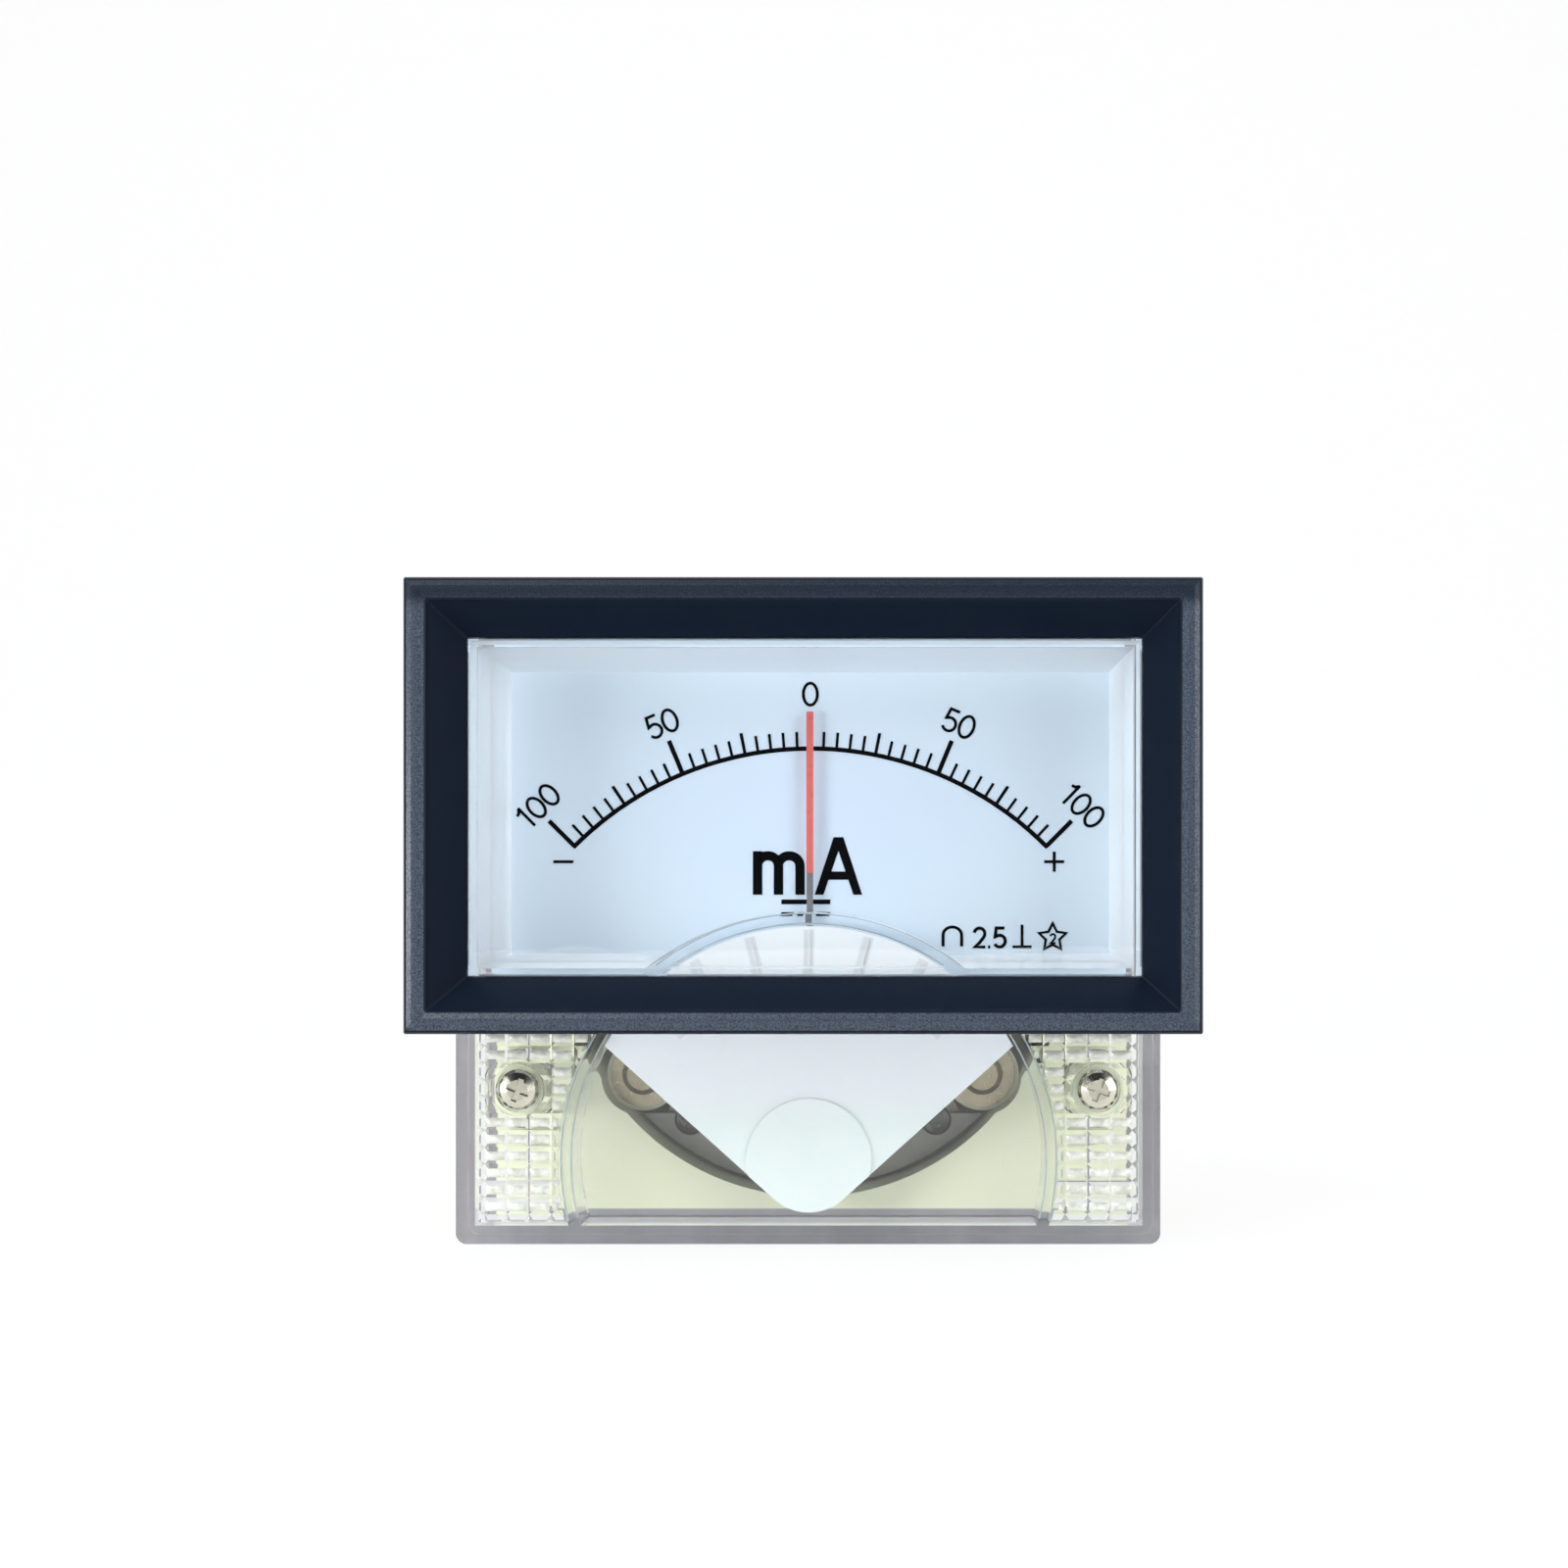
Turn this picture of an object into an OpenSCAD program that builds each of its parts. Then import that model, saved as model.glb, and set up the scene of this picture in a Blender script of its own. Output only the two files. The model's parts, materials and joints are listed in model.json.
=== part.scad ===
/* [Bezel] */
// How far the bezel stands out on each side of the window box
bezel_side = 5; // [4:0.1:8]
// Depth of the bezel in front of the panel
bezel_d = 8; // [7:0.5:11]
// Width of the bezel's front rim
rim_w = 2.2; // [1.6:0.1:2.8]
// Height of the rim's crown
rim_crown = 0.25; // [0.1:0.05:0.5]
// How far the window lies behind the rim
window_recess = 3.8; // [3:0.1:4.6]
// Wall of the hollow bezel moulding
bezel_wall = 1.2; // [0.9:0.1:1.3]

/* [Front cover] */
// Width of the window box, which passes through the panel
window_w = 60; // [56:0.5:80]
// Height of the window box
window_h = 30; // [26:0.5:40]
// Thickness of the window's front
window_t = 1.5; // [1:0.1:2]
// Wall of the window box behind its front
window_wall = 0.6; // [0.5:0.1:0.8]
// How much the inner walls of the window lean in towards the dial
window_lean = 1.1; // [0.8:0.1:1.3]
// How far the body stands out on each side of the window box
body_side = 2.5; // [1.5:0.1:4]
// How far the body reaches below the shroud's centre
body_foot = 7.5; // [7:0.1:10]
// How far the top of the body lies below the top of the bezel
body_drop = 2.5; // [2:0.1:3]
// Radius of the body's corners
body_r = 1; // [0.5:0.1:1.4]
// Room for the panel between bezel and body
panel_gap = 2.5; // [1.5:0.1:3.5]
// Thickness of the cover's front plate
plate_t = 2; // [1.8:0.1:2.4]
// Wall of the cover's sides
side_wall = 1.5; // [1.2:0.1:1.8]
// Width of the clear border round the patterned pockets
border_w = 2; // [1.6:0.1:2.4]
// Distance of the pockets' inner edges from the middle
pocket_in = 15; // [14:0.5:16]
// How far the pockets reach up behind the bezel
pocket_up = 3.5; // [2:0.5:4]
// Depth of the patterned pockets
pocket_d = 0.4; // [0.2:0.05:0.6]
// Sideways pitch of the pocket pattern
waffle_x = 2.07; // [1.8:0.01:2.6]
// Upright pitch of the pocket pattern
waffle_z = 1.56; // [1.4:0.01:2.2]
// Depth of the pattern's grooves
waffle_d = 0.5; // [0.3:0.05:0.6]

/* [Shroud and fan] */
// Outer radius of the round shroud over the movement
shroud_r = 23.1; // [22.6:0.1:23.6]
// Wall of the shroud
shroud_wall = 1.1; // [0.9:0.1:1.3]
// Height of the shroud's centre below the pivot
shroud_drop = 7; // [6.5:0.1:7.4]
// Thickness of the fan
fan_t = 1; // [0.8:0.1:1.1]
// Radius of the round boss at the fan's apex
fan_boss_r = 5.8; // [5:0.1:6]
// Radius of the fan's rounded tip
fan_tip_r = 4.8; // [4:0.1:5]
// Angle of each edge of the fan from upright
fan_angle = 48; // [46:1:50]
// Number of radial ribs on the fan
fan_ribs = 7; // [5:2:7]
// Angle between the fan's ribs
rib_step = 15; // [10:1:16]

/* [Dial and pointer] */
// How far the dial plate stays inside the window box on each side
dial_inset = 0.5; // [0.2:0.1:1]
// How far the dial plate reaches above and below the window box
dial_over = 1; // [0.5:0.1:1.5]
// Thickness of the dial plate
dial_t = 0.5; // [0.4:0.1:0.6]
// How far the dial lies behind the front plate of the cover
dial_back = 3.6; // [3.4:0.1:4]
// Radius of the scale's arc
scale_r = 31.6; // [31:0.1:32]
// Divisions on each side of the middle of the scale
divisions = 20; // [10:10:20]
// Angle of the scale on each side of the middle
scale_angle = 45; // [40:1:45]
// Width of the scale's arc
arc_w = 0.42; // [0.2:0.02:0.5]
// Lengths of the scale's long, middle and short marks
tick_l = [3.4, 2.1, 1.6]; // [1:0.1:4]
// Widths of the scale's long, middle and short marks
tick_w = [0.42, 0.3, 0.26]; // [0.2:0.02:0.5]
// Thickness of the printed ink
ink_t = 0.05; // [0.03:0.01:0.08]
// Height of the pivot axis below the window's axis
pivot_drop = 25.5; // [25:0.1:26]
// Length of the pointer from the pivot to its tip
pointer_l = 35; // [34:0.1:36]
// Width of the pointer
pointer_w = 0.65; // [0.5:0.05:0.8]
// Length of the red part of the pointer
red_l = 15.2; // [12:0.1:17]
// Gap between pointer and dial
pointer_gap = 0.9; // [0.7:0.1:1]

/* [Base] */
// Depth of the cover's sides
cover_d = 8.4; // [8:0.1:9]
// Thickness of the base's flange
flange_t = 3; // [2.5:0.1:4]
// Outer radius of the barrel
barrel_r = 25; // [24.6:0.1:25.4]
// Wall of the barrel
barrel_wall = 1.5; // [1.2:0.1:1.8]
// Room from the yoke's lowest point to the barrel's, straight below the pivot
barrel_low = 3.15; // [2.85:0.05:3.65]
// Depth of the barrel behind the flange
barrel_d = 22; // [20:0.5:26]
// Thickness of the barrel's floor
floor_t = 2; // [1.6:0.1:2.6]
// Distance of the cover's screws from the body's sides
screw_in = 5.7; // [5.2:0.1:6.2]
// Height of the cover's screws above the bottom of the body
screw_up = 14.2; // [13.5:0.1:15]
// Radius of the cover's screw heads
screw_head_r = 1.9; // [1.7:0.1:2]
// Radius of the cover's screws
screw_r = 1; // [0.8:0.1:1.2]
// Depth to which the screw heads are sunk in the plate
head_sink = 0.9; // [0.8:0.1:1]
// Height of the seats behind the plate
screw_seat = 0.6; // [0.4:0.1:0.8]

/* [Movement] */
// Outer radius of the yoke ring
yoke_r = 9.5; // [9:0.1:9.8]
// Bore radius of the yoke ring
yoke_bore = 6.6; // [6.5:0.1:7]
// Radius of the core magnet
core_r = 4.7; // [4.4:0.1:4.8]
// Axial length of the yoke ring and the core
core_l = 8; // [7:0.5:9]
// Width of the coil's sides
coil_w = 3; // [2.4:0.2:3.2]
// Thickness of the frame plate that carries the movement
frame_t = 1.6; // [1.2:0.1:2]
// Thickness of the two bridges
bridge_t = 1.3; // [1:0.1:1.5]

/* [Terminals] */
// Radius of the terminal studs
stud_r = 2; // [1.5:0.5:2]
// Sideways place of the studs
stud_x = 16.5; // [16:0.1:17]
// Length of the studs behind the barrel
stud_out = 12; // [11:0.5:16]
// Length of the studs' slimmer tip, which starts the nuts
stud_tip = 4.5; // [3:0.5:5]
// Width of the nuts across their flats
nut_af = 7; // [6.5:0.5:7]
// Thickness of the nuts
nut_t = 2.4; // [2:0.1:2.8]

/* [Hidden] */
$fn = 96;
eps = 0.01;
fit_gap = 0.1;
run_gap = 0.05;

// Places along the depth: y = 0 is the panel's front face, and the front of the meter faces -y.
rim_y = -bezel_d;
window_y = rim_y + window_recess;
plate_y = panel_gap;
plate_back = plate_y + plate_t;
dial_y = plate_back + dial_back;
pointer_t = 0.25;
pointer_y = dial_y - pointer_gap - pointer_t;
fan_y = plate_back + 0.3;
base_y = plate_y + cover_d;
flange_back = base_y + flange_t;
floor_y = flange_back + barrel_d - floor_t;
barrel_back = flange_back + barrel_d;

// Places across the front: x = 0 and z = 0 are the window's axis.
pivot_z = -pivot_drop;
shroud_z = pivot_z - shroud_drop;
bezel_w = window_w + 2 * bezel_side;
bezel_h = window_h + 2 * bezel_side;
body_w = window_w + 2 * body_side;
body_top = bezel_h / 2 - body_drop;
body_low = shroud_z - body_foot;
body_h = body_top - body_low;
body_z = (body_top + body_low) / 2;
shroud_in = shroud_r - shroud_wall;
barrel_z = pivot_z - yoke_r - barrel_low + barrel_r;
barrel_in = barrel_r - barrel_wall;
screw_x = body_w / 2 - screw_in;
screw_z = body_low + screw_up;
screws = [[-screw_x, screw_z], [screw_x, screw_z]];
dial_w = window_w - 2 * dial_inset;
dial_h = window_h + 2 * dial_over;
window_in_w = window_w - 2 * window_wall;
window_in_h = window_h - 2 * window_wall;

// Stack of the movement along its axis.
coil_gap = 0.5;
former_t = 0.5;
wind_t = 0.6;
yoke_y = dial_y + dial_t + 5.4;
core_mid = yoke_y + core_l / 2;
coil_in_r = core_r + 0.25;
coil_out_r = coil_in_r + former_t + wind_t;
coil_front = yoke_y - coil_gap - former_t - wind_t;
coil_back = yoke_y + core_l + coil_gap + former_t + wind_t;
frame_y = yoke_y + 0.6;
bridge_y = dial_y + dial_t + 0.5;
rear_bridge_y = coil_back + 2.2;
arm_y = coil_front - 0.7;
pillar_x = yoke_r + 1.5;
pillar_r = 1.3;
staff_r = 0.35;
tab_x = 12.4;
tab_z = -window_h / 2 - 2.6;
frame_screw_x = 12;
frame_screw_r = 0.7;
dial_screw_r = 0.5;
bridge_screw_r = 0.6;
frame_screw_z = pivot_z - 4.2;
boss_front = yoke_y + 0.4;
terminals = [[-stud_x, pivot_z + 0.3], [stud_x, pivot_z + 0.3]];
zero_r = 6;
pin_off = 1.2;
zero_z = pivot_z - zero_r;
dial_hole_r = 10.2;
recess_turn = 20;
stop_r = 12;
stop_a = 52;
zero_hub_r = 2;
sweep_x = (pivot_drop - window_h / 2 + 2) * tan(scale_angle + 5) + 0.5;
zero_pin_r = 0.5;
boss_r = stud_r + 1.6;
jewel_r = 0.9;
cup_r = 0.5;
cup_d = 0.7;
spring_in = 1.1;
spring_out = 2.8;
spring_t = 0.12;
spring_h = 0.25;
spring_y = bridge_y + bridge_t + 0.35;
rear_spring_y = coil_back + 0.9;
lever_y = rear_bridge_y + bridge_t + 0.2;
lever_t = 0.5;
arm_w = 0.6;
arm_t = 0.25;
crank_r = 8.6;
tail_l = 3.6;
side_l = 3.4;
weight_r = 0.6;
lug_t = 0.4;
washer_t = 0.7;
wire_r = 0.4;
nut_y = barrel_back + washer_t;
outer_nut_y = nut_y + nut_t + washer_t + 1;

// Extrudes a shape drawn across the front from depth y0 back to depth y1.
module slab(y0, y1) {
    translate([0, y1, 0])
        rotate([90, 0, 0])
            linear_extrude(y1 - y0)
                children();
}

// A rod along the depth, centred at [x, z].
module rod(at, r, y0, y1) {
    translate([at[0], y0, at[1]])
        rotate([-90, 0, 0])
            cylinder(r = r, h = y1 - y0);
}

// Turned piece along the depth from a profile of [radius, depth] points.
module turned(at, profile) {
    translate([at[0], 0, at[1]])
        rotate([-90, 0, 0])
            rotate_extrude()
                polygon(profile);
}

// Half a section mirrored into a closed outline.
function section(size, steps) = concat(
    [for (s = steps) [size / 2 - s[0], s[1]]],
    [for (i = [len(steps) - 1 : -1 : 0]) [steps[i][0] - size / 2, steps[i][1]]]);

// Rectangular block with mitred corners, whose sides follow [inset, depth] steps.
module mitred(w, h, steps) {
    intersection() {
        linear_extrude(2 * h, center = true)
            polygon(section(w, steps));
        rotate([0, 90, 0])
            linear_extrude(2 * w, center = true)
                polygon(section(h, steps));
    }
}

module round_rect(w, h, r) {
    difference() {
        square([w, h], center = true);
        for (sx = [-1, 1], sz = [-1, 1])
            translate([sx * (w / 2 - r), sz * (h / 2 - r)])
                difference() {
                    translate([sx * r, sz * r])
                        square(2 * r, center = true);
                    circle(r);
                }
    }
}

// Sector of a disc between two angles from upright.
module wedge(reach, from, to) {
    polygon([[0, 0], for (i = [0 : 4]) let (a = from + (to - from) * i / 4) reach * [sin(a), cos(a)]]);
}

// Bezel: a crowned rim, sloping inner sides and a hollow back round a collar on the window box.
module bezel_frame() {
    edge = rim_w * 0.1;
    crown = [for (i = [0 : 6]) let (t = i / 6) [
        edge + (rim_w - 2 * edge) * t, rim_y + rim_crown * pow(2 * t - 1, 2)]];
    inner = bezel_side - fit_gap;
    hollow = inner - bezel_wall;
    color("#14181f")
        difference() {
            mitred(bezel_w, bezel_h, [[0, 0], [0, rim_y + rim_crown + 0.4], crown[0], crown[2], [rim_w / 2, rim_y]]);
            mitred(bezel_w, bezel_h, [
                [rim_w / 2, rim_y - 1], [rim_w / 2, rim_y], crown[4], crown[6],
                [rim_w, rim_y + rim_crown + 0.3], [inner, window_y], [inner, 1]]);
            difference() {
                mitred(bezel_w, bezel_h, [
                    [bezel_wall, 1], [bezel_wall, rim_y + 1.8], [rim_w - 0.3, rim_y + 1.8],
                    [hollow, window_y + 0.6]]);
                mitred(bezel_w, bezel_h, [[hollow, rim_y], [hollow, 1]]);
            }
        }
}

// Grooves of the pocket pattern, cut into the pocket's floor.
module waffle_grooves(w, h) {
    nx = floor(w / waffle_x);
    nz = floor(h / waffle_z);
    floor_at = plate_y + pocket_d;
    half_x = 0.2 * waffle_x;
    half_z = 0.3 * waffle_z;
    for (i = [0 : nz])
        translate([0, floor_at, (i - nz / 2) * waffle_z])
            rotate([0, 90, 0])
                linear_extrude(w, center = true)
                    polygon([[-half_z, -eps], [half_z, -eps], [0, waffle_d]]);
    for (i = [0 : nx])
        translate([(i - nx / 2) * waffle_x, floor_at, 0])
            linear_extrude(h, center = true)
                polygon([[-half_x, -eps], [half_x, -eps], [0, waffle_d]]);
}

// The two patterned pockets reach from the border to the shroud.
module pockets() {
    pocket_top = -bezel_h / 2 + pocket_up;
    pocket_low = body_low + border_w;
    pocket_w = body_w / 2 - border_w - pocket_in;
    pocket_h = pocket_top - pocket_low;
    for (s = [-1, 1])
        difference() {
            translate([s * (pocket_in + pocket_w / 2), 0, (pocket_top + pocket_low) / 2]) {
                translate([0, plate_y - 1 + (pocket_d + 1) / 2, 0])
                    cube([pocket_w, pocket_d + 1, pocket_h], center = true);
                waffle_grooves(pocket_w, pocket_h);
            }
            rod([0, shroud_z], shroud_r, plate_y - 2, plate_back);
            for (at = screws)
                rod(at, screw_head_r + 0.5, plate_y - 2, plate_back);
        }
}

// Clear cover, moulded in one: window box, front plate, shroud and side walls.
module front_cover() {
    lean_at = dial_y - 0.1;
    lean_in = window_wall + window_lean;
    color([0.85, 0.88, 0.9, 0.4])
        difference() {
            union() {
                difference() {
                    union() {
                        mitred(window_w, window_h, [[0.15, window_y], [0, window_y + 0.15], [0, lean_at]]);
                        translate([0, 0, body_z])
                            slab(plate_y, plate_back)
                                round_rect(body_w, body_h, body_r);
                    }
                    mitred(window_w, window_h, [
                        [window_wall, window_y + window_t], [lean_in, lean_at], [lean_in, base_y]]);
                    slab(window_y + window_t, plate_back)
                        intersection() {
                            shroud_circle(shroud_in);
                            square([window_in_w, window_in_h], center = true);
                        }
                    slab(plate_back, base_y)
                        shroud_circle(shroud_in);
                    slab(pointer_y - 0.5, base_y)
                        translate([0, -window_h / 2])
                            square([2 * sweep_x, 4], center = true);
                }
                translate([0, 0, body_z])
                    slab(plate_back, base_y)
                        difference() {
                            round_rect(body_w, body_h, body_r);
                            square([body_w - 2 * side_wall, body_h - 2 * side_wall], center = true);
                        }
                shroud();
                for (at = screws)
                    rod(at, screw_head_r + 1, plate_back, plate_back + screw_seat);
            }
            pockets();
            for (at = screws) {
                rod(at, screw_head_r + 0.15, plate_y - 1, plate_y + head_sink);
                rod(at, screw_r + 0.2, plate_y, plate_back + screw_seat + 1);
            }
        }
}

module shroud_circle(r) {
    translate([0, shroud_z])
        circle(r);
}

// Round wall of the shroud: short in the window, deep behind the front plate.
module shroud() {
    window_low = -window_in_h / 2;
    dial_low = -dial_h / 2 - 1;
    body_in = body_low + side_wall;
    for (part = [
        [window_y + window_t, pointer_y - 0.5, window_low - window_wall / 2, 0],
        [plate_back, pointer_y - 0.5, dial_low, window_low],
        [plate_back, base_y - 0.6, body_in - eps, dial_low]])
        slab(part[0], part[1])
            intersection() {
                difference() {
                    shroud_circle(shroud_r);
                    shroud_circle(shroud_in);
                }
                translate([-shroud_r - 1, part[2]])
                    square([2 * shroud_r + 2, part[3] - part[2]]);
            }
}

// Outline of the fan: a sector of the shroud's inside with a rounded tip.
module fan_outline(r) {
    apex = fan_tip_r / sin(fan_angle);
    tip_low = shroud_z - fan_tip_r * sin(fan_angle);
    difference() {
        intersection() {
            shroud_circle(r);
            translate([0, shroud_z - apex])
                wedge(2.2 * shroud_r, -fan_angle, fan_angle);
        }
        translate([0, tip_low - shroud_r])
            square(2 * shroud_r, center = true);
    }
    shroud_circle(fan_tip_r);
}

// White fan that hides the movement, with its apex boss seated on the cover's plate.
module fan_mask() {
    rib_w = 0.3;
    rib_l = 5;
    fan_r = shroud_in - 0.2;
    color("#eef3f5") {
        slab(fan_y, fan_y + fan_t)
            fan_outline(fan_r);
        slab(plate_back, fan_y + fan_t)
            intersection() {
                fan_outline(fan_r);
                shroud_circle(fan_boss_r);
            }
        for (i = [0 : fan_ribs - 1])
            translate([0, fan_y, shroud_z])
                rotate([0, (i - (fan_ribs - 1) / 2) * rib_step, 0])
                    translate([-rib_w / 2, -rib_w / 2, fan_r - rib_l - 0.5])
                        cube([rib_w, rib_w, rib_l]);
    }
}

// Dial plate: a sheet that fills the window, with a tongue cut out round the movement.
module dial_plate() {
    color("#d6e6f6")
        slab(dial_y, dial_y + dial_t)
            difference() {
                union() {
                    square([dial_w, dial_h], center = true);
                    translate([0, tab_z / 2 - 1])
                        square([2 * tab_x + 3.4, -tab_z + 1.4], center = true);
                }
                translate([0, pivot_z])
                    circle(dial_hole_r);
                for (s = [-1, 1])
                    translate([s * tab_x, tab_z])
                        circle(0.6);
            }
}

// Printed scale: the arc and its divisions, laid on the dial as one layer of ink.
module scale_print() {
    step = scale_angle / divisions;
    arc_end = scale_angle + 0.3;
    color("#15181c")
        translate([0, 0, pivot_z])
            slab(dial_y - ink_t, dial_y) {
                intersection() {
                    difference() {
                        circle(scale_r + arc_w / 2);
                        circle(scale_r - arc_w / 2);
                    }
                    wedge(1.5 * scale_r, -arc_end, arc_end);
                }
                for (i = [-divisions : divisions]) {
                    kind = i % (divisions / 2) == 0 ? 0 : i % (divisions / 4) == 0 ? 1 : 2;
                    rotate(-i * step)
                        translate([-tick_w[kind] / 2, scale_r])
                            square([tick_w[kind], tick_l[kind]]);
                }
            }
}

// Pan-headed screw along the depth: its head sits on y = seat and the shank runs to y = end.
module pan_screw(at, head_r, head_h, r, seat, end) {
    turned(at, [
        [0, seat - head_h], [head_r * 0.5, seat - head_h], [head_r * 0.85, seat - head_h * 0.75],
        [head_r, seat - head_h * 0.4], [head_r, seat], [r, seat], [r, end - r * 0.6],
        [r * 0.4, end], [0, end]]);
}

// The same screw with a cross recess.
module cross_screw(at, head_r, head_h, r, seat, end) {
    difference() {
        pan_screw(at, head_r, head_h, r, seat, end);
        for (a = [recess_turn, recess_turn + 90])
            translate([at[0], seat - head_h, at[1]])
                rotate([0, a, 0])
                    cube([head_r * 1.15, head_h, head_r * 0.28], center = true);
    }
}

module cover_screw(at) {
    color("#c9c9c4")
        cross_screw(at, screw_head_r, 1.1, screw_r, plate_y + head_sink, base_y - 1);
}

module cover_screw_left() { cover_screw(screws[0]); }

module cover_screw_right() { cover_screw(screws[1]); }

module dial_screws() {
    color("#c9c9c4")
        for (s = [-1, 1])
            cross_screw([s * tab_x, tab_z], 1.1, 0.5, dial_screw_r, dial_y, frame_y + 1);
}

module pointer_stops() {
    color("#30343a")
        for (s = [-1, 1])
            rod([s * stop_r * sin(stop_a), pivot_z + stop_r * cos(stop_a)], 0.4, pointer_y - 0.4, dial_y);
}

// Base: a cream moulding with a flange, a round barrel, screw posts and terminal bosses.
module base_housing() {
    post_r = 2.4;
    tongue_w = body_w - 2 * side_wall - 2 * fit_gap;
    tongue_h = body_h - 2 * side_wall - 2 * fit_gap;
    color("#e3e2c6") {
        difference() {
            union() {
                translate([0, 0, body_z]) {
                    slab(base_y, flange_back)
                        round_rect(body_w, body_h, body_r);
                    slab(base_y - 0.5, base_y)
                        square([tongue_w, tongue_h], center = true);
                }
                rod([0, barrel_z], barrel_r, flange_back, barrel_back);
            }
            difference() {
                rod([0, barrel_z], barrel_in, base_y - 1, floor_y);
                for (at = terminals)
                    rod(at, boss_r, boss_front, floor_y);
                for (s = [-1, 1])
                    rod([s * frame_screw_x, frame_screw_z], post_r, frame_y + frame_t, floor_y);
            }
            for (at = screws)
                rod(at, screw_r, base_y - 2, flange_back - 0.6);
            for (at = terminals) {
                rod(at, boss_r, base_y - 1, boss_front);
                rod(at, stud_r, base_y, barrel_back + 1);
            }
            for (s = [-1, 1])
                rod([s * frame_screw_x, frame_screw_z], frame_screw_r, frame_y, frame_y + 6);
            rod([0, zero_z], zero_hub_r + run_gap, floor_y - 1, barrel_back + 1);
        }
        for (at = screws)
            difference() {
                rod(at, post_r, plate_back + screw_seat, base_y - 0.5);
                rod(at, screw_r, plate_back, base_y);
            }
    }
}

// Frame plate that carries the movement: it fills the barrel's lower part and rises behind the dial.
module movement_frame() {
    seg_top = terminals[0][1] - boss_r - 0.3;
    web_w = stud_x - boss_r - 0.3;
    ear_low = terminals[0][1] + boss_r + 0.3;
    ear_top = tab_z + 1.7;
    color("#b9bcba") {
        difference() {
            slab(frame_y, frame_y + frame_t)
                difference() {
                    union() {
                        intersection() {
                            translate([0, barrel_z])
                                circle(barrel_in - 0.5);
                            translate([0, seg_top - barrel_r])
                                square(2 * barrel_r, center = true);
                        }
                        translate([-web_w, seg_top - eps])
                            square([2 * web_w, ear_top - seg_top]);
                        translate([-tab_x - 1.5, ear_low])
                            square([2 * tab_x + 3, ear_top - ear_low]);
                    }
                    translate([0, pivot_z])
                        circle(yoke_r + 0.02);
                }
            for (s = [-1, 1])
                rod([s * frame_screw_x, frame_screw_z], frame_screw_r + 0.2,
                    frame_y - 1, frame_y + frame_t + 1);
            for (s = [-1, 1])
                rod([s * tab_x, tab_z], dial_screw_r, frame_y - 1, frame_y + frame_t + 1);
        }
        for (s = [-1, 1]) {
            difference() {
                rod([s * tab_x, tab_z], 1.3, dial_y + dial_t, frame_y);
                rod([s * tab_x, tab_z], dial_screw_r, dial_y, frame_y + 1);
            }
            for (span = [[bridge_y + bridge_t, frame_y], [frame_y + frame_t, rear_bridge_y]])
                difference() {
                    rod([s * pillar_x, pivot_z], pillar_r, span[0], span[1]);
                    rod([s * pillar_x, pivot_z], bridge_screw_r, span[0] - 1, span[1] + 1);
                }
        }
    }
}

module frame_screws() {
    color("#3c3f42")
        for (s = [-1, 1])
            cross_screw([s * frame_screw_x, frame_screw_z], 1.5, 0.8, frame_screw_r, frame_y, frame_y + 5);
}

module yoke_ring() {
    color("#8d9094")
        difference() {
            rod([0, pivot_z], yoke_r, yoke_y, yoke_y + core_l);
            rod([0, pivot_z], yoke_bore, yoke_y - 1, yoke_y + core_l + 1);
        }
}

module core_magnet() {
    color("#6c7075")
        difference() {
            rod([0, pivot_z], core_r, yoke_y, yoke_y + core_l);
            rod([0, pivot_z], 0.9, yoke_y - 1, yoke_y + core_l + 1);
        }
}

// Two non-magnetic webs that hold the core in the yoke, above and below the coil's travel.
module core_supports() {
    web = 1.3;
    color("#b9bcba")
        slab(yoke_y, yoke_y + core_l)
            translate([0, pivot_z])
                intersection() {
                    difference() {
                        circle(yoke_bore - 0.02);
                        circle(core_r + 0.02);
                    }
                    square([2 * web, 2 * yoke_r], center = true);
                }
}

// Flat bridge across two pillars, with a bored middle for its jewel screw.
module bridge(at_y, boss) {
    slab(at_y, at_y + bridge_t)
        translate([0, pivot_z])
            difference() {
                union() {
                    square([2 * pillar_x, 3], center = true);
                    circle(boss);
                    for (s = [-1, 1])
                        translate([s * pillar_x, 0])
                            circle(1.5);
                }
                circle(jewel_r);
                for (s = [-1, 1])
                    translate([s * pillar_x, 0])
                        circle(bridge_screw_r);
            }
}

module front_bridge() {
    color("#c8a85a") {
        bridge(bridge_y, spring_out + 0.5);
        translate([-0.35, bridge_y + bridge_t, pivot_z + spring_out])
            cube([0.7, spring_y + spring_h - bridge_y - bridge_t, 0.5]);
    }
}

module rear_bridge() {
    color("#c8a85a")
        bridge(rear_bridge_y, 2.2);
}

module bridge_screws() {
    color("#c9c9c4")
        for (s = [-1, 1]) {
            cross_screw([s * pillar_x, pivot_z], 1.2, 0.45, bridge_screw_r, bridge_y, bridge_y + 4);
            translate([0, 2 * rear_bridge_y + bridge_t, 0])
                rotate([0, 0, 180])
                    cross_screw([s * pillar_x, pivot_z], 1.2, 0.6, bridge_screw_r,
                        rear_bridge_y, rear_bridge_y + 4);
        }
}

// Jewel screw: a threaded plug whose inner end holds the cup that the pivot runs in.
module jewel_screw(from, to, cup) {
    inward = to > from ? 1 : -1;
    turned([0, pivot_z], [
        [0, from], [jewel_r, from], [jewel_r, to], [cup_r, to],
        [0.1, to - inward * cup], [0, to - inward * cup]]);
}

module front_jewel_screw() {
    color("#d8b860")
        jewel_screw(bridge_y - 0.4, bridge_y + bridge_t + 0.2, cup_d);
}

module rear_jewel_screw() {
    color("#d8b860")
        jewel_screw(rear_bridge_y + bridge_t + 1.4, rear_bridge_y - 0.2, cup_d);
}

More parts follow.
